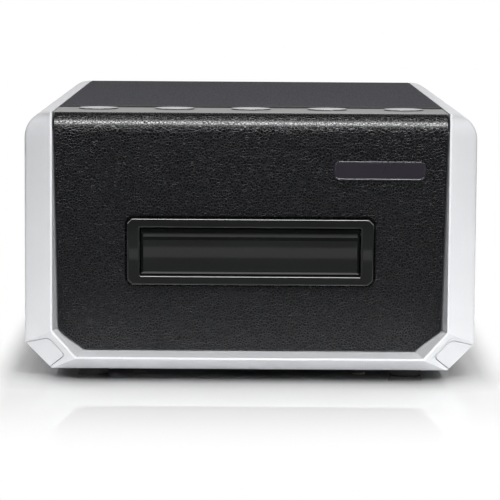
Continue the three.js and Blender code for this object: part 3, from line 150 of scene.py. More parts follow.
def wire(*pairs):
    """Links each pair of sockets in their own node tree."""
    for start, end in pairs:
        start.id_data.links.new(start, end)


def maths(operation, *inputs):
    """A Math node; each input is a socket or a number, with one socket at least."""
    sockets = [given for given in inputs if not isinstance(given, (int, float))]
    node = sockets[0].id_data.nodes.new("ShaderNodeMath")
    node.operation = operation
    for slot, given in zip(node.inputs, inputs):
        if given in sockets:
            wire((given, slot))
        else:
            slot.default_value = given
    return node.outputs["Value"]


def ramp(value, low, high, start=0.0, end=1.0, smooth=False):
    """Maps a value from one span to another and stops at its ends."""
    node = value.id_data.nodes.new("ShaderNodeMapRange")
    if smooth:
        node.interpolation_type = "SMOOTHSTEP"
    for label, number in (("From Min", low), ("From Max", high), ("To Min", start), ("To Max", end)):
        node.inputs[label].default_value = number
    wire((value, node.inputs["Value"]))
    return node.outputs["Result"]


def table_material():
    """Glossy white laminate with painted shade near the scanner, and painted light in what it bounces and
    reflects; away from the scanner the camera sees it as plain white.
    """
    material = bpy.data.materials.new("white_table")
    nodes = empty_nodes(material)
    output = nodes.new("ShaderNodeOutputMaterial")
    path = nodes.new("ShaderNodeLightPath")
    place = nodes.new("ShaderNodeTexCoord")
    split = nodes.new("ShaderNodeSeparateXYZ")
    # Painted shade: the occlusion node darkens the colour the camera sees where the scanner stands close
    # by.
    painted_contact_shade = nodes.new("ShaderNodeAmbientOcclusion")
    painted_contact_shade.samples = 12
    painted_contact_shade.inputs["Distance"].default_value = corner_shade
    plain = nodes.new("ShaderNodeBsdfDiffuse")
    gloss = nodes.new("ShaderNodeBsdfGlossy")
    gloss.inputs["Color"].default_value = (1, 1, 1, 1)
    gloss.inputs["Roughness"].default_value = table_polish
    lit = nodes.new("ShaderNodeMixShader")
    white = nodes.new("ShaderNodeEmission")
    mix = nodes.new("ShaderNodeMixShader")
    wire((place.outputs["Object"], split.inputs["Vector"]))

    def distance_from(halves, slopes):
        squares = []
        for axis, half, slope in zip("XY", halves, slopes):
            span = maths("ABSOLUTE", split.outputs[axis])
            beside = maths("MAXIMUM", maths("SUBTRACT", span, half), 0)
            squares.append(maths("POWER", maths("MULTIPLY", beside, slope), 2))
        return maths("SQRT", maths("ADD", *squares))

    far = ramp(distance_from(fade_half, fade_slope), *fade_span, smooth=True)
    seen = ramp(painted_contact_shade.outputs["AO"], 0, 1, 0.0, table_seen)
    camera_ray = path.outputs["Is Camera Ray"]
    # Painted bounce light: the table's colour for diffuse rays, set by the distance from the scanner.
    bounced = ramp(distance_from(bounce_half, (1.0, 1.0)), *bounce_span, *bounce_white, smooth=True)
    forward = split.outputs["Y"]
    sheen = ramp(forward, *gloss_span, 0, table_gloss)
    # Painted reflections: the colour glossy rays see, by how far in front of the scanner the table lies.
    painted_reflection = ramp(forward, *mirror_span, *mirror_white, smooth=True)
    close = ramp(forward, *mirror_close, 0.0, mirror_close_white, smooth=True)
    rise = ramp(forward, *mirror_band_rise, smooth=True)
    drop = ramp(forward, *mirror_band_drop, mirror_band_white, 0.0, smooth=True)
    painted_reflection = maths("ADD", maths("ADD", painted_reflection, close), maths("MULTIPLY", rise, drop))
    glossy = nodes.new("ShaderNodeMix")
    choose = nodes.new("ShaderNodeMix")
    wire(
        (path.outputs["Is Glossy Ray"], glossy.inputs["Factor"]),
        (bounced, glossy.inputs["A"]),
        (painted_reflection, glossy.inputs["B"]),
        (glossy.outputs["Result"], choose.inputs["A"]),
        (camera_ray, choose.inputs["Factor"]),
        (seen, choose.inputs["B"]),
        (choose.outputs["Result"], plain.inputs["Color"]),
        (maths("MULTIPLY", sheen, camera_ray), lit.inputs["Fac"]),
        (plain.outputs["BSDF"], lit.inputs[1]),
        (gloss.outputs["BSDF"], lit.inputs[2]),
        (maths("MULTIPLY", far, camera_ray), mix.inputs["Fac"]),
        (lit.outputs["Shader"], mix.inputs[1]),
        (white.outputs["Emission"], mix.inputs[2]),
        (mix.outputs["Shader"], output.inputs["Surface"]),
    )
    return material


def table_top():
    mesh = bpy.data.meshes.new("table_top")
    sides = 96
    turns = [2 * math.pi * i / sides for i in range(sides)]
    rim = [(table_radius * math.cos(turn), table_radius * math.sin(turn), 0) for turn in turns]
    mesh.from_pydata(rim, [], [tuple(range(sides))])
    mesh.materials.append(table_material())
    link_object("table_top", mesh)


def studio_world():
    """White for the camera; for light and reflections it is bright behind the scanner, dim in front."""
    world = bpy.data.worlds.new("studio")
    scene.world = world
    nodes = empty_nodes(world)
    output = nodes.new("ShaderNodeOutputWorld")
    path = nodes.new("ShaderNodeLightPath")
    direction = nodes.new("ShaderNodeTexCoord")
    split = nodes.new("ShaderNodeSeparateXYZ")
    wire((direction.outputs["Generated"], split.inputs["Vector"]))
    lighting = ramp(split.outputs["Y"], *room_light, smooth=True)
    reflected = ramp(split.outputs["Y"], *room_mirror, smooth=True)
    gloss = maths("MAXIMUM", path.outputs["Is Glossy Ray"], path.outputs["Is Transmission Ray"])
    choose = nodes.new("ShaderNodeMix")
    seen = nodes.new("ShaderNodeMix")
    seen.inputs["B"].default_value = 1.0
    background = nodes.new("ShaderNodeBackground")
    background.inputs["Color"].default_value = (1, 1, 1, 1)
    wire(
        (gloss, choose.inputs["Factor"]),
        (lighting, choose.inputs["A"]),
        (reflected, choose.inputs["B"]),
        (choose.outputs["Result"], seen.inputs["A"]),
        (path.outputs["Is Camera Ray"], seen.inputs["Factor"]),
        (seen.outputs["Result"], background.inputs["Strength"]),
        (background.outputs["Background"], output.inputs["Surface"]),
    )


def soft_lamp(name, place, aim, width, height, power, tint=(1, 1, 1)):
    data = bpy.data.lights.new(name, "AREA")
    data.shape = "RECTANGLE"
    data.size = width
    data.size_y = height
    data.energy = power
    data.color = tint
    lamp = bpy.data.objects.new(name, data)
    lamp.location = place
    lamp.rotation_mode = "QUATERNION"
    lamp.rotation_quaternion = (Vector(aim) - Vector(place)).to_track_quat("-Z", "Y")
    scene.collection.objects.link(lamp)
    return lamp


table_top()
studio_world()
front_lamp = soft_lamp("lamp_front", (0.12, -0.95, 0.98), (0, -0.1, 0.06), 0.6, 0.2, 16)
front_lamp.visible_glossy = False
soft_lamp("lamp_right", (1.15, -0.75, 0.45), (0, -0.08, 0.05), 0.5, 0.9, 0.7)
soft_lamp("lamp_left", (-1.2, -0.7, 0.5), (0, -0.08, 0.05), 0.5, 0.9, 0.45, (0.94, 0.97, 1))
front_fill = soft_lamp("lamp_fill", (0.15, -1.7, 0.35), (0, -0.1, 0.05), 0.5, 0.5, 15.5)
front_fill.visible_glossy = False
gloss_lamp = soft_lamp("lamp_gloss", (0, -0.84, 1.12), (0, -0.1, 0.09), 1.4, 0.36, 76)
gloss_lamp.visible_diffuse = False
for hand in (-1, 1):
    side_lamp = soft_lamp("lamp_shoulder", (1.05 * hand, -0.3, 0.9), (0, -0.1, 0.09), 0.5, 0.5, 12)
    side_lamp.visible_diffuse = False
rear_lamp = soft_lamp("lamp_rear", (0.3, 1.0, 0.9), (0, 0.1, 0.06), 0.9, 0.5, 4)
rear_lamp.visible_glossy = False

# The silver casing: one plastic moulding for floor and sides, with a bevelled frame round the front,
# painted in satin silver. The frame comes forward to a narrow ridge and turns in round the mouth, and
# a row of slots in the floor lets cool air in.
casing_low, casing_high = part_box("silver_shell")
casing_half = casing_high.x
casing_front = casing_low.y
casing_rear = casing_high.y
casing_under = casing_low.z
casing_top = casing_high.z
casing_wall = 2.5 * mm
shoulder_radius = 10.6 * mm
foot_chamfer = 10.3 * mm
bevel_depth = 10 * mm
border_depth = 12.5 * mm
ridge_rise = 5.3 * mm
ridge_chamfer = (9.6 * mm, 10.7 * mm)
ridge_band = 0.8 * mm
mouth_depth = 9 * mm
mouth_side_draw = 1.3 * mm
mouth_floor_draw = 1.2 * mm
mouth_chamfer = (10.2 * mm, 8.3 * mm)
mouth_top = 7.2 * mm
mouth_step_turn = (0.001, -0.02)
fine_gap = 0.3 * mm
arc_steps = 20
shoulder_x = casing_half - shoulder_radius
opening_half = shoulder_x - ridge_band
ridge_floor = casing_under + ridge_rise
casing_edge = 0.22 * mm
outer_round = 1.7 * mm
outer_round_steps = 5
silver_colour = (0.72, 0.73, 0.75, 1)
floor_vents = 7
vent_pitch = 6 * mm
vent_size = (2.4 * mm, 26 * mm)
vent_flat = 0.01 * mm
overcut = 2 * mm


def inset(outline, distance):
    """The outline with each side moved inwards by the distance."""
    count = len(outline)
    following = [outline[(i + 1) % count] for i in range(count)]
    area = sum(a[0] * b[1] - b[0] * a[1] for a, b in zip(outline, following))
    turn = math.copysign(1, area)
    lines = []
    for a, b in zip(outline, following):
        length = math.hypot(b[0] - a[0], b[1] - a[1])
        normal = (-turn * (b[1] - a[1]) / length, turn * (b[0] - a[0]) / length)
        lines.append((*normal, normal[0] * a[0] + normal[1] * a[1] + distance))
    moved = []
    for i, (nx, nz, offset) in enumerate(lines):
        before_x, before_z, before_offset = lines[i - 1]
        cross = before_x * nz - before_z * nx
        x = (before_offset * nz - offset * before_z) / cross
        z = (offset * before_x - before_offset * nx) / cross
        moved.append((x, z))
    return moved


def mouth_outline(depth, inwards=0.0):
    """Corners of the mouth at a depth behind the ridge, right-hand side first and open at the top."""
    top = casing_top + border_depth
    ridge = [
        (shoulder_x, top + ridge_band),
        (shoulder_x, ridge_floor + ridge_chamfer[1]),
        (shoulder_x - ridge_chamfer[0], ridge_floor),
    ]
    front = inset(ridge + [(-x, z) for x, z in reversed(ridge)], ridge_band)
    half = opening_half - mouth_side_draw
    floor = ridge_floor + ridge_band + mouth_floor_draw
    deep = [(half, top), (half, floor + mouth_chamfer[1]), (half - mouth_chamfer[0], floor)]
    deep = deep + [(-x, z) for x, z in reversed(deep)]
    share = depth / mouth_depth
    there = [(x + (dx - x) * share, z + (dz - z) * share) for (x, z), (dx, dz) in zip(front, deep)]
    return inset(there, inwards) if inwards else there


def mouth_half_at(depth, z, inwards=0.0):
    """Half the mouth's width at a depth and a height."""
    _, side, foot = mouth_outline(depth, inwards)[:3]
    if z >= casing_top - mouth_top + inwards:
        return opening_half - inwards
    if z >= side[1]:
        return side[0]
    share = (z - foot[1]) / (side[1] - foot[1])
    return foot[0] + (side[0] - foot[0]) * share


def rounded_edge(outer, ridge):
    """Points that round the edge between the casing's side and the bevel which runs in to the ridge."""
    bevel_y = casing_front + bevel_depth
    edge = Vector((outer[0], bevel_y, outer[1]))
    behind = edge + Vector((0, outer_round, 0))
    ahead = Vector((ridge[0], casing_front, ridge[1]))
    before = edge + (ahead - edge).normalized() * outer_round
    points = []
    for i in range(outer_round_steps + 1):
        share = i / outer_round_steps
        first = behind.lerp(edge, share)
        points.append(tuple(first.lerp(edge.lerp(before, share), share)))
    return points


def casing_ring(angle=None, corner=None, level=None):
    """Section through the casing's wall where it leaves the shoulder, a corner or a level."""
    inner_radius = shoulder_radius - casing_wall
    centre_z = casing_top - shoulder_radius
    if angle is not None:
        across, up = math.cos(angle), math.sin(angle)
        x = shoulder_x + shoulder_radius * across
        z = centre_z + shoulder_radius * up
        inner = (shoulder_x + inner_radius * across, centre_z + inner_radius * up)
        ridge = (shoulder_x, z)
        front = (opening_half, z)
        deep = (mouth_half_at(border_depth, z), z)
    elif level is not None:
        x, z = opening_half, casing_top
        inner = (opening_half, casing_top - casing_wall)
        ridge = front = deep = (opening_half, casing_top)
    else:
        slope = casing_wall * (math.sqrt(2) - 1)
        front = mouth_outline(0)[corner]
        deep = mouth_outline(border_depth)[corner]
        if corner == 1:
            x, z = casing_half, casing_under + foot_chamfer
            inner = (casing_half - casing_wall, z + slope)
            ridge = (shoulder_x, ridge_floor + ridge_chamfer[1])
        else:
            x, z = casing_half - foot_chamfer, casing_under
            inner = (x - slope, casing_under + casing_wall)
            ridge = (shoulder_x - ridge_chamfer[0], ridge_floor)
    border_y = casing_front + border_depth
    return [
        (x, casing_rear, z),
        *rounded_edge((x, z), ridge),
        (ridge[0], casing_front, ridge[1]),
        (front[0], casing_front, front[1]),
        (deep[0], border_y, deep[1]),
        (inner[0], border_y, inner[1]),
        (inner[0], casing_rear, inner[1]),
    ]


def mesh_piece(name, rings, caps=True):
    """A closed piece through rings with as many points each."""
    points = [point for ring in rings for point in ring]
    count = len(rings[0])
    faces = []
    for r in range(len(rings) - 1):
        for i in range(count):
            a, b = r * count + i, r * count + (i + 1) % count
            faces.append((a, b, b + count, a + count))
    if caps:
        faces.append(tuple(range(count))[::-1])
        faces.append(tuple(range(len(points) - count, len(points))))
    mesh = bpy.data.meshes.new(name)
    mesh.from_pydata(points, [], faces)
    tidy_mesh(mesh)
    return link_object(name, mesh)


def tidy_mesh(mesh):
    """Merges doubles, turns faces outwards and shades the mesh smooth."""
    work = bmesh.new()
    work.from_mesh(mesh)
    bmesh.ops.remove_doubles(work, verts=work.verts, dist=1e-6)
    bmesh.ops.dissolve_degenerate(work, edges=work.edges, dist=1e-6)
    bmesh.ops.recalc_face_normals(work, faces=work.faces)
    for face in work.faces:
        face.smooth = True
    work.to_mesh(mesh)
    work.free()


def settle(piece):
    """Replaces the piece's mesh by what its modifiers make of it."""
    graph = bpy.context.evaluated_depsgraph_get()
    made = bpy.data.meshes.new_from_object(piece.evaluated_get(graph))
    piece.modifiers.clear()
    piece.data = made
    return piece


def carve(piece, cutter, operation="DIFFERENCE"):
    """Cuts or joins another piece, which is used up."""
    step = piece.modifiers.new("carve", "BOOLEAN")
    step.operation = operation
    step.solver = "EXACT"
    step.object = cutter
    settle(piece)
    bpy.data.objects.remove(cutter)
    return piece


def soften(piece, width, segments=3, angle=28):
    """Rounds every edge sharper than the angle."""
    for face in piece.data.polygons:
        face.use_smooth = True
    edge = piece.modifiers.new("edges", "BEVEL")
    edge.width = width
    edge.segments = segments
    edge.limit_method = "ANGLE"
    edge.angle_limit = math.radians(angle)
    edge.use_clamp_overlap = True
    edge.harden_normals = True
    return piece


def finish_piece(piece, material, body, slot, *nodes):
    piece.data.materials.clear()
    piece.data.materials.append(material)
    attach(piece, body)
    if nodes:
        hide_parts(*nodes)
    return piece


def principled(name):
    material = bpy.data.materials.new(name)
    nodes = empty_nodes(material)
    output = nodes.new("ShaderNodeOutputMaterial")
    shader = nodes.new("ShaderNodeBsdfPrincipled")
    wire((shader.outputs["BSDF"], output.inputs["Surface"]))
    return material, nodes, shader


def noise(nodes, scale, detail=2.0, stretch=None):
    """Noise on the piece's own coordinates, as a value round one half."""
    place = nodes.new("ShaderNodeTexCoord")
    texture = nodes.new("ShaderNodeTexNoise")
    texture.inputs["Scale"].default_value = scale
    texture.inputs["Detail"].default_value = detail
    source = place.outputs["Object"]
    if stretch:
        mapping = nodes.new("ShaderNodeMapping")
        mapping.inputs["Scale"].default_value = stretch
        wire((source, mapping.inputs["Vector"]))
        source = mapping.outputs["Vector"]
    wire((source, texture.inputs["Vector"]))
    return texture.outputs["Fac"]


def vary(value, low, high):
    """Spreads a noise's value round one half between two limits."""
    return ramp(value, 0.3, 0.7, low, high)


def blend_colours(value, first, second):
    mix = value.id_data.nodes.new("ShaderNodeMix")
    mix.data_type = "RGBA"
    mix.inputs["A"].default_value = first
    mix.inputs["B"].default_value = second
    wire((value, mix.inputs["Factor"]))
    return mix.outputs["Result"]


def bump(height, strength, distance, shader, before=None):
    relief = shader.id_data.nodes.new("ShaderNodeBump")
    relief.inputs["Strength"].default_value = strength
    relief.inputs["Distance"].default_value = distance
    wire((height, relief.inputs["Height"]))
    if before:
        wire((before, relief.inputs["Normal"]))
    wire((relief.outputs["Normal"], shader.inputs["Normal"]))
    return relief.outputs["Normal"]


def tinted(colour, share):
    """The colour, darker or paler by a share."""
    return tuple(share * part for part in colour[:3]) + (1,)


def patterned(name, fixed, gloss, tint=None, relief=None):
    """A finish with even sockets, and patterns for its gloss, its colour and its relief.

    A pattern is the scale, detail and stretch of a noise. Gloss gives one with two roughnesses, tint
    one with two colours and the most of the second, and relief one with a strength and a height.
    """
    material, nodes, shader = principled(name)
    noises = {}

    def pattern(kind):
        if kind not in noises:
            noises[kind] = noise(nodes, *kind)
        return noises[kind]

    for label, value in fixed.items():
        shader.inputs[label].default_value = value
    kind, low, high = gloss
    wire((vary(pattern(kind), low, high), shader.inputs["Roughness"]))
    if tint:
        kind, first, second, most = tint
        share = vary(pattern(kind), 0, most)
        wire((blend_colours(share, first, second), shader.inputs["Base Color"]))
    if relief:
        kind, strength, height = relief
        bump(pattern(kind), strength, height, shader)
    return material


def silver_paint():
    """Satin silver paint with fine flakes and a faint orange peel."""
    flakes = (9000, 1)
    return patterned(
        "silver_paint",
        {"Metallic": 0.35, "Coat Weight": 0.6, "Coat Roughness": 0.2},
        gloss=(flakes, 0.34, 0.44),
        tint=(flakes, tinted(silver_colour, 0.95), tinted(silver_colour, 1.04), 1),
        relief=((900, 2), 0.05, 0.05 * mm),
    )


def casing_moulding():
    angles = [math.pi / 2 * (1 - i / arc_steps) for i in range(arc_steps + 1)]
    step_angle = math.asin((shoulder_radius - mouth_top) / shoulder_radius)
    angles += [step_angle + turn for turn in mouth_step_turn]
    right = [casing_ring(level=True)]
    right += [casing_ring(angle=angle) for angle in sorted(angles, reverse=True)]
    right += [casing_ring(corner=1), casing_ring(corner=2)]
    left = [[(-x, y, z) for x, y, z in ring] for ring in reversed(right)]
    return mesh_piece("casing_moulding", right + left)


def tree_inputs(tree, **kinds):
    """Names the tree's inputs and gives each one's identifier."""
    ids = {}
    for name, kind in kinds.items():
        socket = tree.interface.new_socket(name, in_out="INPUT", socket_type="NodeSocket" + kind)
        ids[name] = socket.identifier
    tree.interface.new_socket("Geometry", in_out="OUTPUT", socket_type="NodeSocketGeometry")
    return ids, tree.nodes.new("NodeGroupInput")


def end_tree(given, geometry):
    """Ends a tree in plain geometry that has the material of its Finish input."""
    nodes = geometry.id_data.nodes
    realize = nodes.new("GeometryNodeRealizeInstances")
    finish = nodes.new("GeometryNodeSetMaterial")
    result = nodes.new("NodeGroupOutput")
    wire(
        (geometry, realize.inputs["Geometry"]),
        (realize.outputs["Geometry"], finish.inputs["Geometry"]),
        (given.outputs["Finish"], finish.inputs["Material"]),
        (finish.outputs["Geometry"], result.inputs["Geometry"]),
    )


def run_tree(name, tree, ids, **values):
    """Runs a tree on an empty mesh and keeps what it makes as a plain mesh."""
    piece = link_object(name, bpy.data.meshes.new(name))
    step = piece.modifiers.new("tree", "NODES")
    step.node_group = tree
    for label, value in values.items():
        step[ids[label]] = value
    return settle(piece)


def rounded_rectangle(width, height, radius, x=0.0, z=0.0, steps=6):
    """A rectangle with round corners, as (x, z) points."""
    points = []
    for corner, (sx, sz) in enumerate([(1, 1), (-1, 1), (-1, -1), (1, -1)]):
        centre = (sx * (width / 2 - radius), sz * (height / 2 - radius))
        for i in range(steps + 1):
            angle = math.pi / 2 * (corner + i / steps)
            across = x + centre[0] + radius * math.cos(angle)
            up = z + centre[1] + radius * math.sin(angle)
            points.append((across, up))
    return points


def row_tree():
    """Copies of one part, set out in a straight row."""
    tree = bpy.data.node_groups.new("row_of_parts", "GeometryNodeTree")
    ids, given = tree_inputs(
        tree, Part="Object", Count="Int", Start="Vector", Step="Vector", Finish="Material"
    )
    source = tree.nodes.new("GeometryNodeObjectInfo")
    line = tree.nodes.new("GeometryNodeMeshLine")
    place = tree.nodes.new("GeometryNodeInstanceOnPoints")
    wire(
        (given.outputs["Part"], source.inputs["Object"]),
        (given.outputs["Count"], line.inputs["Count"]),
        (given.outputs["Start"], line.inputs["Start Location"]),
        (given.outputs["Step"], line.inputs["Offset"]),
        (line.outputs["Mesh"], place.inputs["Points"]),
        (source.outputs["Geometry"], place.inputs["Instance"]),
    )
    end_tree(given, place.outputs["Instances"])
    return tree, ids


row_nodes, row_ids = row_tree()


def row(name, part, count, start, step, finish):
    """Runs the row tree; the part itself is used up."""
    made = run_tree(
        name, row_nodes, row_ids, Part=part, Count=count, Start=start, Step=step, Finish=finish
    )
    bpy.data.objects.remove(part)
    return made


silver = silver_paint()
casing = casing_moulding()
vent_start = (-(floor_vents - 1) / 2 * vent_pitch, 0, casing_under)
vent_outline = rounded_rectangle(*vent_size, vent_size[0] / 2 - vent_flat)
floor_vent = mesh_piece(
    "floor_vent", [[(x, y, z) for x, y in vent_outline] for z in (-overcut, casing_wall + overcut)]
)
floor_slots = row("floor_vent_slots", floor_vent, floor_vents, vent_start, (vent_pitch, 0, 0), silver)
carve(casing, floor_slots)

# The corner pads: two silver plastic inserts with rounded corners, pressed into pockets in the bevel
# at the foot of each side, where the casing's frame is cut at a slant.
pad_thickness = 1.9 * mm
pad_sink = 0.5 * mm
pocket_slope = 1.5 * mm
pad_reach = 4 * mm
pad_upper_share = 0.15
pad_lower_share = 0.82
pad_outer_upper_share = 0.04
pad_outer_lower_share = 0.94
pad_inner_share = 0.74
pad_corner_share = 0.14
pad_corner_cut = 0.3
pad_edge = 0.3 * mm
core_steps = 8


def facet_point(side, along, across, depth):
    """A point on the slanting facet: along it downwards, across it to the ridge, and into the casing."""
    bevel_y = casing_front + bevel_depth
    outer = [
        Vector((casing_half, bevel_y, casing_under + foot_chamfer)),
        Vector((casing_half - foot_chamfer, bevel_y, casing_under)),
    ]
    inner = [
        Vector((shoulder_x, casing_front, ridge_floor + ridge_chamfer[1])),
        Vector((shoulder_x - ridge_chamfer[0], casing_front, ridge_floor)),
    ]
    normal = (outer[1] - outer[0]).cross(inner[0] - outer[0]).normalized()
    low = outer[0].lerp(outer[1], along)
    high = inner[0].lerp(inner[1], along)
    point = low.lerp(high, across) + normal * depth
    return (point.x * side, point.y, point.z)


def pad_ring(side, grow, depth):
    """The pad's outline at a depth: a tongue with cut corners that runs out over the casing's edge."""
    facet_width = foot_chamfer * math.sqrt(2)
    facet_reach = math.hypot(bevel_depth, shoulder_radius, ridge_rise)
    along, across = grow / facet_width, grow / facet_reach
    out = -pad_reach / facet_reach

    def spread(end, middle):
        return middle + (end - middle) * (pad_inner_share - out) / pad_inner_share

    corner = pad_corner_share
    cut = pad_corner_cut * corner
    outline = [
        (spread(pad_outer_upper_share, pad_upper_share) - along, out),
        (pad_upper_share - along, pad_inner_share - corner + across),
        (pad_upper_share + cut - along, pad_inner_share - cut + across),
        (pad_upper_share + corner - along, pad_inner_share + across),
        (pad_lower_share - corner + along, pad_inner_share + across),
        (pad_lower_share - cut + along, pad_inner_share - cut + across),
        (pad_lower_share + along, pad_inner_share - corner + across),
        (spread(pad_outer_lower_share, pad_lower_share) + along, out),
    ]
    return [facet_point(side, a, b, depth) for a, b in outline]


def casing_core(name):
    """The casing's outside as a solid block, to trim the pads to its edges."""
    rings = []
    outline = [casing_ring(angle=math.pi / 2 * (1 - i / core_steps)) for i in range(core_steps + 1)]
    outline += [casing_ring(corner=1), casing_ring(corner=2)]
    for station in range(outer_round_steps + 3):
        right = [ring[station] for ring in outline]
        rings.append(right + [(-x, y, z) for x, y, z in reversed(right)])
    return mesh_piece(name, rings)


for side in (1, -1):
    hand = "right" if side > 0 else "left"
    pocket = mesh_piece(
        f"pad_pocket_{hand}",
        [
            pad_ring(side, fine_gap, pad_sink + pad_thickness + fine_gap),
            pad_ring(side, fine_gap, pad_sink),
            pad_ring(side, fine_gap + pocket_slope, 0),
            pad_ring(side, fine_gap + pocket_slope + pad_reach, -pad_reach),
        ],
    )
    carve(casing, pocket)
    pad = mesh_piece(
        f"corner_pad_{hand}_skin",
        [pad_ring(side, 0, pad_sink + pad_thickness), pad_ring(side, 0, pad_sink)],
    )
    carve(pad, casing_core(f"casing_core_{hand}"), "INTERSECT")
    soften(pad, pad_edge)
    finish_piece(pad, silver, "casing", "silver_paint", f"corner_pad_{hand}")

soften(casing, casing_edge)
finish_piece(casing, silver, "casing", "silver_paint", "silver_shell")

# The front panel: a plastic board that leans forward over its foot, in black leather-grained vinyl,
# which turns over its top edge in a seven-millimetre round before the control strip.
lean = math.radians(5.85)
panel_wall = 2.5 * mm
panel_gap = 0.55 * mm
panel_radius = 7 * mm
panel_edge = 0.35 * mm
panel_step_drop = 0.05 * mm
panel_arc_y = casing_front + fine_gap + panel_radius
strip_step = 0.4 * mm
strip_top = casing_top - strip_step
panel_arc_z = strip_top - panel_radius
slot_middle_z = 50.2 * mm
slot_width = 85.2 * mm
slot_height = 19 * mm
throat_wall = 2 * mm
bezel_border = (5 * mm, 3.6 * mm)
bezel_corner = 2 * mm
bezel_groove = 0.5 * mm
groove_depth = 1.2 * mm
# The creases are paler than the pebble tops.
leather_colour = (0.0046, 0.0050, 0.0068, 1)
leather_tops = (0.0006, 0.0006, 0.0010, 1)
front_pebbles = 960
# How fine the pattern wanders and how far, both by the pebble, and how rounded its pebbles are.
pebble_wander = 0.6
pebble_drift = 0.65
pebble_roundness = 0.35
crease_width = 0.11
grit_scale = 2600
grit_share = 0.35


def panel_face_y(z):
    """The panel's outer face at a height below its rounded top."""
    tangent_y = panel_arc_y - panel_radius * math.cos(lean)
    tangent_z = panel_arc_z - panel_radius * math.sin(lean)
    return tangent_y + (tangent_z - z) * math.tan(lean)


def leather(name, pebbles_per_metre, colour, tops_colour, relief, gloss, rough, mottle, drawn=1.0):
    """Pebbled vinyl: small irregular domes with creases between them, a little glossier on top."""
    material, nodes, shader = principled(name)
    place = nodes.new("ShaderNodeTexCoord")
    wander = nodes.new("ShaderNodeTexNoise")
    wander.inputs["Scale"].default_value = pebble_wander * pebbles_per_metre
    wander.inputs["Detail"].default_value = 2
    centred = nodes.new("ShaderNodeVectorMath")
    centred.operation = "SUBTRACT"
    centred.inputs[1].default_value = (0.5, 0.5, 0.5)
    reach = nodes.new("ShaderNodeVectorMath")
    reach.operation = "SCALE"
    reach.inputs["Scale"].default_value = pebble_drift / pebbles_per_metre
    bent = nodes.new("ShaderNodeVectorMath")
    bent.operation = "ADD"
    pebbles = nodes.new("ShaderNodeTexVoronoi")
    pebbles.feature = "SMOOTH_F1"
    pebbles.inputs["Scale"].default_value = pebbles_per_metre
    pebbles.inputs["Smoothness"].default_value = pebble_roundness
    creases = nodes.new("ShaderNodeTexVoronoi")
    creases.feature = "DISTANCE_TO_EDGE"
    creases.inputs["Scale"].default_value = pebbles_per_metre
    stain = nodes.new("ShaderNodeMix")
    stain.data_type = "RGBA"
    stain.blend_type = "MULTIPLY"
    stain.inputs["Factor"].default_value = 1
    depth = ramp(creases.outputs["Distance"], 0, crease_width, smooth=True)
    cloud = noise(nodes, 1, 3, (1300, 1300 * drawn, 1300))
    height = maths("MULTIPLY_ADD", noise(nodes, grit_scale, 3), grit_share, depth)
    wire(
        (place.outputs["Object"], wander.inputs["Vector"]),
        (wander.outputs["Color"], centred.inputs[0]),
        (centred.outputs["Vector"], reach.inputs[0]),
        (place.outputs["Object"], bent.inputs[0]),
        (reach.outputs["Vector"], bent.inputs[1]),
        (bent.outputs["Vector"], pebbles.inputs["Vector"]),
        (bent.outputs["Vector"], creases.inputs["Vector"]),
        (blend_colours(depth, colour, tops_colour), stain.inputs["A"]),
        (vary(cloud, 1 - mottle, 1 + mottle), stain.inputs["B"]),
        (stain.outputs["Result"], shader.inputs["Base Color"]),
        (ramp(depth, 0, 1, *reversed(rough)), shader.inputs["Roughness"]),
    )
    shader.inputs["Specular IOR Level"].default_value = gloss
    dome = bump(height, relief, 0.10 * mm, shader)
    bump(pebbles.outputs["Distance"], -0.35 * relief, 0.3 * mm, shader, dome)
    return material


def panel_arc(radius):
    """(y, z) points from the panel's top edge over its round to the top of its flat face."""
    points = []
    for i in range(arc_steps + 1):
        angle = math.pi / 2 + (math.pi / 2 + lean) * i / arc_steps
        points.append((panel_arc_y + radius * math.cos(angle), panel_arc_z + radius * math.sin(angle)))
    return points


def front_board():
    """The panel as a board that keeps a gap to the mouth's sides all the way down."""
    outer = panel_arc(panel_radius)
    inner = panel_arc(panel_radius - panel_wall)
    behind = panel_wall / math.cos(lean)
    foot_depth = panel_face_y(ridge_floor) - casing_front
    side, foot = mouth_outline(foot_depth, fine_gap)[1:3]
    step_z = casing_top - mouth_top + fine_gap - panel_step_drop
    levels = [z for z in (step_z, side[1], foot[1]) if z <= outer[-1][1]]
    outer += [(panel_face_y(z), z) for z in levels]
    inner += [(panel_face_y(z) + behind, z) for z in levels]
    rings = []
    for (y, z), (back_y, back_z) in zip(outer, inner):
        half = mouth_half_at(y - casing_front, z, panel_gap)
        back_half = mouth_half_at(back_y - casing_front, back_z, panel_gap)
        rings.append(
            [(-half, y, z), (half, y, z), (back_half, back_y, back_z), (-back_half, back_y, back_z)]
        )
    return mesh_piece("front_board", rings)


def block(name, low, high):
    """A box between two corners."""
    rings = []
    for x in (low[0], high[0]):
        rings.append(
            [(x, low[1], low[2]), (x, high[1], low[2]), (x, high[1], high[2]), (x, low[1], high[2])]
        )
    return mesh_piece(name, rings)


def cut_rectangle(width, height, corner, x=0.0, z=0.0):
    """A rectangle with cut corners, as (x, z) points."""
    w, h = width / 2, height / 2
    right = [(w - corner, h), (w, h - corner), (w, corner - h), (w - corner, -h)]
    outline = right + [(-a, b) for a, b in reversed(right)]
    return [(a + x, b + z) for a, b in outline]


def standing(outline, y):
    return [(x, y, z) for x, z in outline]


face_matrix = Matrix.Translation((0, panel_face_y(slot_middle_z), slot_middle_z))
face_matrix = face_matrix @ Matrix.Rotation(lean, 4, "X")

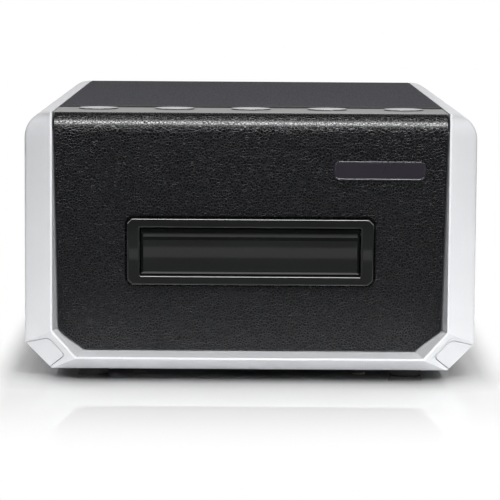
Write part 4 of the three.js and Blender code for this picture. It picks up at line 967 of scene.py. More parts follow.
front_skin = leather(
    "leather_front",
    front_pebbles,
    leather_colour,
    leather_tops,
    relief=0.6,
    gloss=0.3,
    rough=(0.27, 0.36),
    mottle=0.3,
)
panel = front_board()
throat_half = (slot_width / 2 + throat_wall + fine_gap, slot_height / 2 + throat_wall + fine_gap)
throat_hole = block(
    "throat_hole",
    (-throat_half[0], -4 * overcut, -throat_half[1]),
    (throat_half[0], 4 * overcut, throat_half[1]),
)
throat_hole.data.transform(face_matrix)
carve(panel, throat_hole)
groove_outline = cut_rectangle(
    slot_width + 2 * (bezel_border[0] + bezel_groove),
    slot_height + 2 * (bezel_border[1] + bezel_groove),
    bezel_corner,
)
groove = mesh_piece("bezel_groove", [standing(groove_outline, y) for y in (groove_depth, -1.5 * overcut)])
groove.data.transform(face_matrix)
carve(panel, groove)
soften(panel, panel_edge)
finish_piece(panel, front_skin, "casing", "grained_skin", "front_panel")

# The slot's bezel: a glossy black frame with cut corners that stands a little proud of the leather,
# moulded in one with the throat behind it that leads the film holder to the rollers.
bezel_proud = 1.8 * mm
bezel_edge = 0.7 * mm
bezel_land = 0.1 * mm
fine_edge = 0.12 * mm
bezel_edge_steps = 5
front_throat = 20 * mm
gloss_colour = (0.0045, 0.005, 0.005, 1)


def gloss_plastic(name, colour, roughness):
    """Polished plastic with faint moulding waves and a trace of dust in its gloss."""
    return patterned(
        name,
        {},
        gloss=((700, 4), roughness * 0.8, roughness * 1.2),
        tint=((60, 3), tinted(colour, 0.8), colour, 1),
        relief=((45, 1), 0.02, 0.2 * mm),
    )


def slot_frame(name, throat):
    """Bezel and throat, drawn flat: x across, y into the casing, z up, from the slot's middle."""
    outline = cut_rectangle(
        slot_width + 2 * bezel_border[0], slot_height + 2 * bezel_border[1], bezel_corner
    )
    opening = cut_rectangle(slot_width, slot_height, fine_gap)
    collar = cut_rectangle(slot_width + 2 * throat_wall, slot_height + 2 * throat_wall, fine_gap)
    turns = [math.pi / 2 * i / bezel_edge_steps for i in range(bezel_edge_steps + 1)]

    def rounded(edge, hand):
        rings = []
        for turn in turns:
            inwards = hand * bezel_edge * (1 - math.cos(turn))
            rings.append(standing(inset(edge, inwards), bezel_edge * (1 - math.sin(turn)) - bezel_proud))
        rings.append(standing(inset(edge, hand * (bezel_edge + bezel_land)), -bezel_proud))
        return rings

    rings = [
        standing(collar, -fine_gap),
        standing(outline, -fine_gap),
        *rounded(outline, 1),
        *reversed(rounded(opening, -1)),
        standing(opening, throat),
        standing(collar, throat),
        standing(collar, -fine_gap),
    ]
    return mesh_piece(name, rings, caps=False)


def fit_bezel(node, throat, matrix, material, slot):
    """Puts a bezel and its throat in the place of their node."""
    bezel = slot_frame(f"{node}_skin", throat)
    bezel.data.transform(matrix)
    soften(bezel, fine_edge, 2)
    finish_piece(bezel, material, "casing", slot, node)


gloss_black = gloss_plastic("gloss_black", gloss_colour, roughness=0.035)
fit_bezel("slot_bezel", front_throat, face_matrix, gloss_black, "gloss_black")

# The front flap: a glossy black plate that hangs in the throat and swings inwards, with a round
# knuckle along its top, a bevel round its face, and a hollow end in the knuckle for its spring.
flap_gap = 0.4 * mm
flap_recess = 2 * mm
flap_thickness = 2.4 * mm
flap_bevel = 0.9 * mm
flap_bevel_depth = 0.6 * mm
flap_end_share = 0.1
knuckle_radius = 2.2 * mm
knuckle_reach = 0.45 * mm
knuckle_start = 1.22 * math.pi
knuckle_sweep = 1.45 * math.pi
knuckle_steps = 24
flap_half = (slot_width / 2 - flap_gap, slot_height / 2 - flap_gap)
flap_face_y = flap_recess - bezel_proud
pin_radius = 0.8 * mm
pin_y = flap_face_y + knuckle_radius
pin_z = flap_half[1] - knuckle_radius
spring_wire = 0.4 * mm
spring_turns = 4
spring_length = 3 * mm
spring_radius = pin_radius + 0.25 * mm + spring_wire / 2
spring_room = spring_length + 2 * fine_gap


def lathe(name, profile, axis="z", place=(0.0, 0.0, 0.0), steps=64):
    """Turns (radius, height) points about an axis through a place."""
    points = []
    for i in range(steps + 1):
        turn = 2 * math.pi * i / steps
        for radius, height in profile:
            a, b = radius * math.cos(turn), radius * math.sin(turn)
            point = {"x": (height, a, b), "y": (a, height, b), "z": (a, b, height)}[axis]
            points.append(tuple(p + q for p, q in zip(point, place)))
    count = len(profile)
    faces = []
    for i in range(steps):
        for j in range(count - 1):
            a = i * count + j
            faces.append((a, a + 1, a + 1 + count, a + count))
    mesh = bpy.data.meshes.new(name)
    mesh.from_pydata(points, [], faces)
    tidy_mesh(mesh)
    return link_object(name, mesh)


def flap_plate(name):
    """The flap, drawn flat like its bezel."""
    back_y = flap_face_y + flap_thickness
    foot = -flap_half[1]
    arc = []
    for i in range(knuckle_steps + 1):
        turn = knuckle_start - knuckle_sweep * i / knuckle_steps
        arc.append((pin_y + knuckle_radius * math.cos(turn), pin_z + knuckle_radius * math.sin(turn)))
    under = pin_z - knuckle_radius - knuckle_reach

    def section(shrink, depth):
        front = flap_face_y + depth
        return [
            (front, foot + shrink),
            (front, under),
            (front + knuckle_reach / 2, under + knuckle_reach),
            *[(max(y, front if z < pin_z else y), z) for y, z in arc],
            (back_y, pin_z - knuckle_radius),
            (back_y, foot + fine_gap),
            (back_y - fine_gap, foot),
            (flap_face_y + flap_bevel_depth, foot),
        ]

    half = flap_half[0]
    end = section(flap_end_share * flap_bevel, flap_bevel_depth)
    face = section(flap_bevel, 0)
    stations = ((-half, end), (flap_bevel - half, face), (half - flap_bevel, face), (half, end))
    plate = mesh_piece(name, [[(x, y, z) for y, z in outline] for x, outline in stations])
    hollow_radius = spring_radius + spring_wire / 2 + fine_gap
    hollow = [
        (0, half - spring_room),
        (hollow_radius, half - spring_room),
        (hollow_radius, half + fine_gap),
        (pin_radius + fine_gap, half + 2 * fine_gap),
        (0, half + 2 * fine_gap),
    ]
    carve(plate, lathe(f"{name}_hollow", hollow, "x", (0, pin_y, pin_z), 32))
    return plate


def hang_flap(node, matrix, material, slot):
    """Puts a flap in the place of its node, on the body of the same name."""
    flap = flap_plate(f"{node}_skin")
    flap.data.transform(matrix)
    soften(flap, fine_edge, 2, angle=24)
    finish_piece(flap, material, node, slot, node)


hang_flap("front_flap", face_matrix, gloss_black, "gloss_black")

# The flap's pin and spring: a ground steel pin through both ends of the throat, and a small torsion
# spring wound on it in the hollow end of the knuckle, which pushes the flap shut.
pin_reach = slot_width / 2 + throat_wall - fine_gap
pin_chamfer = 0.2 * mm


def ground_steel(name, colour, stretch, low, high):
    """Bare steel with fine grinding marks that run round or along it."""
    marks = (1, 3, stretch)
    return patterned(
        name,
        {"Metallic": 1},
        gloss=(marks, low, high),
        tint=(marks, tinted(colour, 0.8), colour, 1),
        relief=(marks, 0.06, 0.02 * mm),
    )


def coil_tree():
    """Wire wound along X: a spiral with a round section and closed ends."""
    tree = bpy.data.node_groups.new("wound_wire", "GeometryNodeTree")
    ids, given = tree_inputs(
        tree, Turns="Float", Radius="Float", Length="Float", Wire="Float", Place="Vector", Finish="Material"
    )
    spiral = tree.nodes.new("GeometryNodeCurveSpiral")
    spiral.inputs["Resolution"].default_value = 32
    lay = tree.nodes.new("GeometryNodeTransform")
    lay.inputs["Rotation"].default_value = (0, math.pi / 2, 0)
    section = tree.nodes.new("GeometryNodeCurvePrimitiveCircle")
    section.inputs["Resolution"].default_value = 12
    sweep = tree.nodes.new("GeometryNodeCurveToMesh")
    sweep.inputs["Fill Caps"].default_value = True
    shift = tree.nodes.new("GeometryNodeTransform")
    wire(
        (given.outputs["Turns"], spiral.inputs["Rotations"]),
        (given.outputs["Radius"], spiral.inputs["Start Radius"]),
        (given.outputs["Radius"], spiral.inputs["End Radius"]),
        (given.outputs["Length"], spiral.inputs["Height"]),
        (spiral.outputs["Curve"], lay.inputs["Geometry"]),
        (lay.outputs["Geometry"], sweep.inputs["Curve"]),
        (given.outputs["Wire"], section.inputs["Radius"]),
        (section.outputs["Curve"], sweep.inputs["Profile Curve"]),
        (sweep.outputs["Mesh"], shift.inputs["Geometry"]),
        (given.outputs["Place"], shift.inputs["Translation"]),
    )
    end_tree(given, shift.outputs["Geometry"])
    return tree, ids


steel_colour = (0.56, 0.57, 0.58, 1)
pin_steel = ground_steel("ground_steel", steel_colour, stretch=(3000, 200, 200), low=0.2, high=0.34)
coil_nodes, coil_ids = coil_tree()


def flap_fittings(end, matrix):
    """Pin and spring of one flap."""
    profile = [
        (0, -pin_reach),
        (pin_radius - pin_chamfer, -pin_reach),
        (pin_radius, pin_chamfer - pin_reach),
        (pin_radius, pin_reach - pin_chamfer),
        (pin_radius - pin_chamfer, pin_reach),
        (0, pin_reach),
    ]
    pin = lathe(f"{end}_flap_pin_skin", profile, "x", (0, pin_y, pin_z), 32)
    start = flap_half[0] - spring_room + fine_gap + spring_wire / 2
    spring = run_tree(
        f"{end}_flap_spring_skin",
        coil_nodes,
        coil_ids,
        Turns=float(spring_turns),
        Radius=spring_radius,
        Length=spring_length - spring_wire,
        Wire=spring_wire / 2,
        Place=(start, pin_y, pin_z),
        Finish=pin_steel,
    )
    tidy_mesh(spring.data)
    for piece, node in ((pin, f"{end}_flap_pin"), (spring, f"{end}_flap_spring")):
        piece.data.transform(matrix)
        finish_piece(piece, pin_steel, "casing", "bright_steel", node)


flap_fittings("front", face_matrix)

# The badge plate: a bare glossy plate with rounded ends, let into the leather at the upper right.
# It has a fine raised rim, which catches the light along its top.
badge_size = (35.3 * mm, 7.4 * mm)
badge_round = 2.3 * mm
badge_proud = 0.6 * mm
badge_thickness = 1.5 * mm
badge_side_margin = 8.95 * mm
badge_lift = 2.25 * mm
badge_rim = 0.45 * mm
badge_edge = 0.08 * mm
# How far in from the outline and how far up to the rim's crest, as shares.
badge_crest = ((0, 0.6), (0.2, 0.9), (0.5, 1), (1, 1), (1.4, 0.7))
badge_colour = (0.0155, 0.0135, 0.019, 1)
badge_place = (
    opening_half - badge_side_margin - badge_size[0] / 2,
    (slot_height / 2 + bezel_border[1] + panel_arc_z - slot_middle_z) / 2 + badge_lift,
)


def badge_ring(shrink, y):
    outline = rounded_rectangle(
        badge_size[0] - 2 * shrink, badge_size[1] - 2 * shrink, badge_round - shrink, *badge_place
    )
    return standing(outline, y)


badge_rings = [badge_ring(0, badge_thickness - badge_proud)]
badge_rings += [badge_ring(badge_rim * inwards, -badge_proud * up) for inwards, up in badge_crest]
badge = mesh_piece("badge_plate_skin", badge_rings)
badge.data.transform(face_matrix)
soften(badge, badge_edge, 2)
badge_gloss = gloss_plastic("badge_gloss", badge_colour, roughness=0.12)
finish_piece(badge, badge_gloss, "casing", "gloss_black", "badge_plate")

# The control strip: a grey painted plate between the leather of the front and of the lid, a little
# lower than the lid. It has a round hole for each button, a narrow groove before the lid, a ledge
# under the lid's edge, and four posts that carry the button board.
strip_low, strip_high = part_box("control_strip")
strip_wall = 2.5 * mm
button_radius = 7.7 * mm
button_clearance = 0.3 * mm
hole_steps = 96
strip_edge = 0.22 * mm
strip_groove = 1.2 * mm
post_radius = 1.8 * mm
post_places = [(x * mm, y * mm) for x in (-45, 45) for y in (-104.6, -91.8)]
cover_wall = 2.5 * mm
ledge_wall = 2.2 * mm
ledge_reach = 2 * mm
strip_colour = (0.25, 0.25, 0.245, 1)
buttons = sorted(body for body in frame["bodies"] if body.startswith("button_"))
strip_half = opening_half - fine_gap


def button_middle(button):
    low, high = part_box(button)
    return (low + high) / 2


def drum(name, radius, low, high, x, y, steps=hole_steps):
    """An upright cylinder, for a hole, a post or a stem."""
    return lathe(name, [(0, low), (radius, low), (radius, high), (0, high)], "z", (x, y, 0), steps)


def gather(name, pieces):
    """Joins separate bodies into one mesh, for one cut."""
    work = bmesh.new()
    for piece in pieces:
        work.from_mesh(piece.data)
        bpy.data.objects.remove(piece)
    mesh = bpy.data.meshes.new(name)
    work.to_mesh(mesh)
    work.free()
    return link_object(name, mesh)


def strip_paint():
    """Grey paint with a faint brushed direction along the strip."""
    streaks = (1, 3, (60, 2600, 2600))
    return patterned(
        "strip_paint",
        {"Metallic": 0.15},
        gloss=(streaks, 0.36, 0.46),
        tint=(streaks, tinted(strip_colour, 0.85), strip_colour, 1),
        relief=(streaks, 0.05, 0.05 * mm),
    )


cover_low, cover_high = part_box("top_cover")
strip_back = cover_low.y - strip_groove
strip_under = strip_top - strip_wall
ledge_top = casing_top - cover_wall - fine_gap
strip_section = [
    (strip_low.y, strip_top),
    (strip_back, strip_top),
    (strip_back, ledge_top),
    (strip_high.y, ledge_top),
    (strip_high.y, ledge_top - ledge_wall),
    (strip_back - ledge_reach, ledge_top - ledge_wall),
    (strip_back - ledge_reach, strip_under),
    (strip_low.y, strip_under),
]
strip = mesh_piece(
    "control_strip_skin",
    [[(x, y, z) for y, z in strip_section] for x in (-strip_half, strip_half)],
)
posts = [
    drum("post", post_radius, strip_low.z, strip_under + fine_gap, x, y, 32) for x, y in post_places
]
carve(strip, gather("strip_posts", posts), "UNION")
holes = []
for button in buttons:
    middle = button_middle(button)
    low, high = strip_top - 2 * strip_wall, strip_top + strip_wall
    hole = drum(f"{button}_hole", button_radius + button_clearance, low, high, middle.x, middle.y)
    holes.append(hole)
carve(strip, gather("button_holes", holes))
soften(strip, strip_edge)
finish_piece(strip, strip_paint(), "casing", "strip_grey", "control_strip")

# The buttons: five plastic caps with a shallow chromed dome and a rounded rim, each on a stem over its
# switch. The wall and rim take a far darker copy of the chrome: painted shade and dark reflection. One tree
# makes the domed cap;
# it is run once for each button.
dome_height = 0.22 * mm
cap_lift = 0.45 * mm
cap_rim = 0.35 * mm
cap_rim_steps = 6
cap_depth = 3.6 * mm
stem_radius = 2 * mm


def chrome_plate(name, colour, metallic):
    """Bright plating over plastic, with slight waves and a little haze."""
    return patterned(
        name,
        {"Base Color": colour, "Metallic": metallic},
        gloss=((500, 3), 0.08, 0.15),
        relief=((160, 1), 0.02, 0.1 * mm),
    )


def cap_tree():
    """A dome and skirt: a closed cylinder whose upper face is lifted by the square of the radius."""
    tree = bpy.data.node_groups.new("domed_cap", "GeometryNodeTree")
    ids, given = tree_inputs(
        tree, Radius="Float", Dome="Float", Skirt="Float", Place="Vector", Finish="Material"
    )
    nodes = tree.nodes
    grid = nodes.new("GeometryNodeMeshCylinder")
    grid.fill_type = "TRIANGLE_FAN"
    grid.inputs["Vertices"].default_value = 96
    grid.inputs["Side Segments"].default_value = 1
    grid.inputs["Fill Segments"].default_value = 16
    position = nodes.new("GeometryNodeInputPosition")
    parts = nodes.new("ShaderNodeSeparateXYZ")
    flat = nodes.new("ShaderNodeCombineXYZ")
    span = nodes.new("ShaderNodeVectorMath")
    span.operation = "LENGTH"
    offset = nodes.new("ShaderNodeCombineXYZ")
    shape = nodes.new("GeometryNodeSetPosition")
    move = nodes.new("GeometryNodeTransform")
    smooth = nodes.new("GeometryNodeSetShadeSmooth")
    wire(
        (given.outputs["Radius"], grid.inputs["Radius"]),
        (given.outputs["Skirt"], grid.inputs["Depth"]),
        (position.outputs["Position"], parts.inputs["Vector"]),
        (parts.outputs["X"], flat.inputs["X"]),
        (parts.outputs["Y"], flat.inputs["Y"]),
        (flat.outputs["Vector"], span.inputs[0]),
    )
    ratio = maths("DIVIDE", span.outputs["Value"], given.outputs["Radius"])
    rise = maths("MULTIPLY", maths("SUBTRACT", 1, maths("POWER", ratio, 2)), given.outputs["Dome"])
    upper = maths("GREATER_THAN", parts.outputs["Z"], 0)
    wire(
        (maths("MULTIPLY", upper, rise), offset.inputs["Z"]),
        (grid.outputs["Mesh"], shape.inputs["Geometry"]),
        (offset.outputs["Vector"], shape.inputs["Offset"]),
        (shape.outputs["Geometry"], move.inputs["Geometry"]),
        (given.outputs["Place"], move.inputs["Translation"]),
        (move.outputs["Geometry"], smooth.inputs["Geometry"]),
    )
    end_tree(given, smooth.outputs["Geometry"])
    return tree, ids


chrome = chrome_plate("chrome_plate", (0.70, 0.71, 0.73, 1), metallic=0.9)
# Painted shade: a far darker copy of the chrome for the caps' walls and rims.
painted_shade_chrome = chrome_plate("painted_shade_chrome", (0.16, 0.16, 0.17, 1), metallic=1)
cap_nodes, cap_ids = cap_tree()
for button in buttons:
    middle = button_middle(button)
    low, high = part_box(button)
    cap = run_tree(
        f"{button}_cap",
        cap_nodes,
        cap_ids,
        Radius=button_radius,
        Dome=dome_height,
        Skirt=cap_depth,
        Place=(middle.x, middle.y, strip_top + cap_lift - cap_depth / 2),
        Finish=chrome,
    )
    foot = strip_top + cap_lift - cap_depth
    stem = drum(f"{button}_stem", stem_radius, low.z, foot + fine_gap, middle.x, middle.y, 32)
    tidy_mesh(cap.data)
    carve(cap, stem, "UNION")
    soften(cap, cap_rim, cap_rim_steps, angle=50)
    finish_piece(cap, chrome, button, "chrome", button)
    # The wall and the rounded rim take the darker copy: painted shade and dark reflection.
    cap.data.materials.append(painted_shade_chrome)
    cap.modifiers["edges"].material = 1
    for face in cap.data.polygons:
        if abs(face.normal.z) < 0.5:
            face.material_index = 1

# The lid: a flat plastic cover in the same leather-grained vinyl, from the control strip to the back,
# held under the casing's shoulders by a tongue along each side. Its grain is coloured far paler than the
# front's, as painted light from above. A thin lip closes its front edge, near-black as painted shade for
# the dark gap there.
lid_edge = 0.15 * mm
lip_edge = 0.06 * mm
tongue_wall = 2.3 * mm
# Painted light: the lid's grain is far paler than the front's same vinyl, for the light from above.
lid_creases_painted_light = (0.071, 0.071, 0.082, 1)
lid_tops_painted_light = (0.033, 0.033, 0.040, 1)
lid_pebbles = 560
lip_depth = 0.6 * mm
lip_rise = 0.25 * mm
# Painted shade: the lip is near-black for the dark gap at the lid's front edge.
lip_shade_colour = (0.006, 0.006, 0.007, 1)
tongue_half = cover_high.x
tongue_top = casing_top - cover_wall - fine_gap
tongue_inner = strip_half - tongue_wall
lid_right = [
    (strip_half, casing_top),
    (strip_half, tongue_top),
    (tongue_half, tongue_top),
    (tongue_half, cover_low.z),
    (tongue_inner, cover_low.z),
    (tongue_inner, casing_top - cover_wall),
]
lid_section = lid_right + [(-x, z) for x, z in reversed(lid_right)]
lip = block(
    "top_cover_lip",
    (fine_gap - strip_half, cover_low.y, casing_top - cover_wall),
    (strip_half - fine_gap, cover_low.y + lip_depth, casing_top + lip_rise),
)
soften(lip, lip_edge, 2)
finish_piece(lip, gloss_plastic("lip_painted_shade", lip_shade_colour, 0.5), "casing", "gloss_black")
lid = mesh_piece(
    "top_cover_skin", [standing(lid_section, y) for y in (cover_low.y + lip_depth, casing_rear)]
)
soften(lid, lid_edge)
lid_skin = leather(
    "leather_lid",
    lid_pebbles,
    lid_creases_painted_light,
    lid_tops_painted_light,
    relief=0.9,
    gloss=0.02,
    rough=(0.50, 0.66),
    mottle=0.5,
    drawn=0.25,
)
finish_piece(lid, lid_skin, "casing", "grained_skin", "top_cover")

# The rear panel: a flat black plastic plate with a fine moulded texture, let in between the casing's
# walls. It has a row of cooling slots, the rear film slot and the openings for the connectors.
rear_low, rear_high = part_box("rear_panel")
rear_face_y = rear_high.y
rear_inset = casing_wall + fine_gap
rear_vents = 9
rear_vent_pitch = 7 * mm
rear_vent_size = (3 * mm, 14 * mm)
rear_vent_z = 22 * mm
rear_edge = 0.25 * mm
usb_middle = (-42 * mm, 87.6 * mm)
usb_size = (12 * mm, 11 * mm)
dc_middle = (-18 * mm, 87.6 * mm)
dc_size = (10 * mm, 11 * mm)
switch_middle = (40 * mm, 90 * mm)
switch_size = (21 * mm, 15 * mm)
plastic_colour = (0.016, 0.016, 0.017, 1)


def matt_plastic(name, colour, low, high):
    """Spark-eroded texture, a little uneven in gloss, with paler traces of handling."""
    grain = (2600, 3)
    return patterned(
        name,
        {},
        gloss=(grain, low, high),
        tint=((40, 3), colour, tinted(colour, 1.7), 1),
        relief=(grain, 0.25, 0.06 * mm),
    )


def plate_outline(distance):
    """The casing's outline, moved inwards."""
    centre_z = casing_top - shoulder_radius
    right = []
    for i in range(arc_steps + 1):
        angle = math.pi / 2 * (1 - i / arc_steps)
        right.append(
            (shoulder_x + shoulder_radius * math.cos(angle), centre_z + shoulder_radius * math.sin(angle))
        )
    right.append((casing_half, casing_under + foot_chamfer))
    right.append((casing_half - foot_chamfer, casing_under))
    return inset(right + [(-x, z) for x, z in reversed(right)], distance)


def through(name, outline):
    """A cutter through the rear panel."""
    return mesh_piece(name, [standing(outline, y) for y in (rear_low.y - mm, rear_high.y + mm)])


black_plastic = matt_plastic("black_plastic", plastic_colour, low=0.42, high=0.60)
rear_panel = mesh_piece(
    "rear_panel_skin", [standing(plate_outline(rear_inset), y) for y in (rear_low.y, rear_high.y)]
)
vent_slots = row(
    "rear_vent_slots",
    through("rear_vent", rounded_rectangle(*rear_vent_size, rear_vent_size[0] / 2 - vent_flat)),
    rear_vents,
    (-(rear_vents - 1) / 2 * rear_vent_pitch, 0, rear_vent_z),
    (rear_vent_pitch, 0, 0),
    black_plastic,
)
slack = 2 * fine_gap
openings = [vent_slots]
for name, width, height, middle in (
    ("rear_throat_hole", 2 * throat_half[0], 2 * throat_half[1], (0, slot_middle_z)),
    ("usb_hole", usb_size[0] + slack, usb_size[1] + slack, usb_middle),
    ("dc_hole", dc_size[0] + slack, dc_size[1] + slack, dc_middle),
    ("switch_hole", switch_size[0] + slack, switch_size[1] + slack, switch_middle),
):
    openings.append(through(name, cut_rectangle(width, height, fine_gap, *middle)))
carve(rear_panel, gather("rear_openings", openings))
soften(rear_panel, rear_edge)
finish_piece(rear_panel, black_plastic, "casing", "black_plastic", "rear_panel")

# The screws: pan heads with a cross recess, zinc plated. Four hold the rear panel and four more hold
# the inner tray from below; one tree sets out each row.
screw_radius = 2.7 * mm
screw_height = 1.5 * mm
screw_edge = 0.06 * mm
# The head's outline from the middle of its face outwards, as shares of radius and height.
screw_outline = ((1, 0), (1, 0.45), (0.93, 0.75), (0.72, 0.95), (0.4, 1), (0, 1))
recess_width = 0.75 * mm
recess_length = 3 * mm
recess_floor_share = 0.35
recess_turn = 0.4
screw_colour = (0.62, 0.62, 0.60, 1)
rear_screws = [(-73 * mm, rear_face_y, 94 * mm), (-66 * mm, rear_face_y, 14 * mm)]
floor_screws = [(-44 * mm, 84 * mm, casing_under), (-44 * mm, -84 * mm, casing_under)]


def pan_head(name, turn):
    """A screw head at the origin that looks along Z, turned to its direction."""
    profile = [(0, 0)] + [(screw_radius * r, screw_height * h) for r, h in screw_outline]
    head = lathe(name, profile, steps=40)
    half_length, half_width = recess_length / 2, recess_width / 2
    low, high = recess_floor_share * screw_height, 2 * screw_height
    carve(head, block("recess_a", (-half_length, -half_width, low), (half_length, half_width, high)))
    carve(head, block("recess_b", (-half_width, -half_length, low), (half_width, half_length, high)))
    head.data.transform(turn @ Matrix.Rotation(recess_turn, 4, "Z"))
    return head


zinc = ground_steel("zinc_plate", screw_colour, stretch=(900, 900, 900), low=0.25, high=0.4)
backwards = Matrix.Rotation(-math.pi / 2, 4, "X")
downwards = Matrix.Rotation(math.pi, 4, "X")
for wall, turn, starts in (("rear", backwards, rear_screws), ("floor", downwards, floor_screws)):
    for i, start in enumerate(starts):
        head = pan_head("screw", turn)
        screws = row(f"{wall}_screws_{i + 1}", head, 2, start, (-2 * start[0], 0, 0), zinc)
        soften(screws, screw_edge, 2, angle=50)
        finish_piece(screws, zinc, "casing", "bright_steel")

# The rear slot: the same bezel, throat and sprung flap as in front, in matt black plastic, through
# which the film holder comes out at the back.
rear_throat = 12 * mm
rear_matrix = Matrix.Translation((0, rear_face_y, slot_middle_z)) @ Matrix.Rotation(math.pi, 4, "Z")
fit_bezel("rear_bezel", rear_throat, rear_matrix, black_plastic, "black_plastic")
hang_flap("rear_flap", rear_matrix, black_plastic, "black_plastic")
flap_fittings("rear", rear_matrix)

# The USB socket: a folded steel shell with two cut corners round a black tongue, which carries two
# gilt contacts above and two below.
usb_depth = 18 * mm
usb_wall = 0.6 * mm
usb_cut = 2 * mm
usb_back = 1.2 * mm
tongue_size = (5.6 * mm, 3.1 * mm)
tongue_length = 8.6 * mm
tongue_taper = (1 * mm, 0.6 * mm)
tongue_round = 0.4 * mm
usb_edge = 0.15 * mm
tongue_edge = 0.1 * mm
contact_edge = 0.04 * mm
tongue_root = rear_face_y - usb_depth + usb_back
tongue_tip = tongue_root + tongue_length
contact_size = (1.2 * mm, 6 * mm, 0.24 * mm)
contact_pitch = 2.5 * mm
contact_setback = 0.4 * mm
sheet_colour = (0.50, 0.51, 0.52, 1)
gilt_colour = (0.78, 0.56, 0.22, 1)


def d_outline(width, height, cut, x, z):
    """A rectangle whose two upper corners are cut."""
    w, h = width / 2, height / 2
    points = [(w, -h), (w, h - cut), (w - cut, h), (cut - w, h), (-w, h - cut), (-w, -h)]
    return [(a + x, b + z) for a, b in points]


def folded_steel():
    """Rolled steel sheet, dull, with faint lines along the roll."""
    lines = (1, 4, (90, 2400, 90))
    return patterned(
        "sheet_steel",
        {"Metallic": 1},
        gloss=(lines, 0.28, 0.46),
        tint=((120, 3), tinted(sheet_colour, 0.72), sheet_colour, 1),
        relief=(lines, 0.08, 0.03 * mm),
    )


sheet_steel = folded_steel()
gilt = ground_steel("gilt_contact", gilt_colour, stretch=(1500, 300, 300), low=0.18, high=0.3)
shell_outer = d_outline(usb_size[0], usb_size[1], usb_cut, *usb_middle)
shell_inner = inset(shell_outer, usb_wall)
usb_shell = mesh_piece(
    "usb_port_shell",
    [
        standing(shell_outer, rear_face_y - usb_depth),
        standing(shell_outer, rear_face_y),
        standing(shell_inner, rear_face_y),
        standing(shell_inner, tongue_root),
    ],
)
soften(usb_shell, usb_edge, 2)
finish_piece(usb_shell, sheet_steel, "casing", "sheet_steel", "usb_port")
tongue_rings = []
for less, y in ((0, tongue_root), (0, tongue_tip), (tongue_taper[0], tongue_tip + tongue_taper[1])):
    width, height = tongue_size[0] - less, tongue_size[1] - less
    tongue_rings.append(standing(rounded_rectangle(width, height, tongue_round, *usb_middle, 3), y))
tongue = mesh_piece("usb_port_tongue", tongue_rings)
soften(tongue, tongue_edge, 2)
finish_piece(tongue, black_plastic, "casing", "black_plastic")
half_width, half_height = contact_size[0] / 2, contact_size[2] / 2
for level, side in (("upper", 1), ("lower", -1)):
    contact = block("contact", (-half_width, -contact_size[1], -half_height), (half_width, 0, half_height))
    start = (
        usb_middle[0] - contact_pitch / 2,
        tongue_tip - contact_setback,
        usb_middle[1] + side * tongue_size[1] / 2,
    )
    contacts = row(f"usb_contacts_{level}", contact, 2, start, (contact_pitch, 0, 0), gilt)
    soften(contacts, contact_edge, 2)
    finish_piece(contacts, gilt, "casing", "bright_steel")

# The power inlet: a moulded black block with a round bore and a steel pin in its middle, soldered to
# the main board behind the panel.
dc_depth = 16 * mm
bore_radius = 3.1 * mm
bore_depth = 9 * mm
bore_lead = 0.8 * mm
bore_lead_depth = 0.6 * mm
bore_clear = 0.2 * mm
inlet_edge = 0.3 * mm
dc_pin_radius = 1 * mm
# The pin's pointed end: its share of the radius, and how far inside the panel's face.
dc_pin_tip = ((1, 1.6 * mm), (0.7, 1.15 * mm), (0, 1 * mm))
inlet = block(
    "dc_inlet_body",
    (dc_middle[0] - dc_size[0] / 2, rear_face_y - dc_depth, dc_middle[1] - dc_size[1] / 2),
    (dc_middle[0] + dc_size[0] / 2, rear_face_y, dc_middle[1] + dc_size[1] / 2),
)
bore = lathe(
    "bore",
    [
        (0, rear_face_y - bore_depth),
        (bore_radius, rear_face_y - bore_depth),
        (bore_radius, rear_face_y - bore_lead_depth),
        (bore_radius + bore_lead, rear_face_y + bore_clear),
        (0, rear_face_y + bore_clear),
    ],
    "y",
    (dc_middle[0], 0, dc_middle[1]),
    48,
)
carve(inlet, bore)
soften(inlet, inlet_edge)
finish_piece(inlet, black_plastic, "casing", "black_plastic", "dc_inlet")
pin_profile = [
    (0, rear_face_y - bore_depth - mm),
    (dc_pin_radius, rear_face_y - bore_depth - mm),
    *[(share * dc_pin_radius, rear_face_y - inside) for share, inside in dc_pin_tip],
]
dc_pin = lathe("dc_inlet_pin", pin_profile, "y", (dc_middle[0], 0, dc_middle[1]), 32)
finish_piece(dc_pin, pin_steel, "casing", "bright_steel")

# The power switch: a snap-in frame with a rocker on two stub pins. The two ends of the rocker carry
# the usual raised marks for on and off.
switch_edge = 0.25 * mm
rocker_edge = 0.3 * mm
mark_colour = (0.6, 0.6, 0.58, 1)
mark_bar = (0.7 * mm, 2.4 * mm, 0.2 * mm)
mark_ring = ((2.6 * mm, 1.29 * mm), (1.6 * mm, 0.79 * mm))
mark_margin = 2.4 * mm
mark_sunk = 0.1 * mm
mark_raised = 0.12 * mm
mark_core = 0.3 * mm


def refine(node, body, material, slot, width, angle=30):
    """A copy of a solid whose faces are merged and whose edges are rounded."""
    mesh = frame["nodes"][node].data.copy()
    work = bmesh.new()
    work.from_mesh(mesh)
    bmesh.ops.remove_doubles(work, verts=work.verts, dist=2e-6)
    bmesh.ops.dissolve_limit(
        work, angle_limit=math.radians(0.5), verts=work.verts, edges=work.edges, delimit={"NORMAL"}
    )
    for face in work.faces:
        face.smooth = True
    work.to_mesh(mesh)
    work.free()
    piece = link_object(f"{node}_skin", mesh)
    soften(piece, width, 2, angle)
    return finish_piece(piece, material, body, slot, node)


refine("power_switch_body", "casing", black_plastic, "black_plastic", switch_edge)
rocker_gloss = gloss_plastic("rocker_gloss", plastic_colour, roughness=0.22)
refine("power_rocker", "power_rocker", rocker_gloss, "black_plastic", rocker_edge)


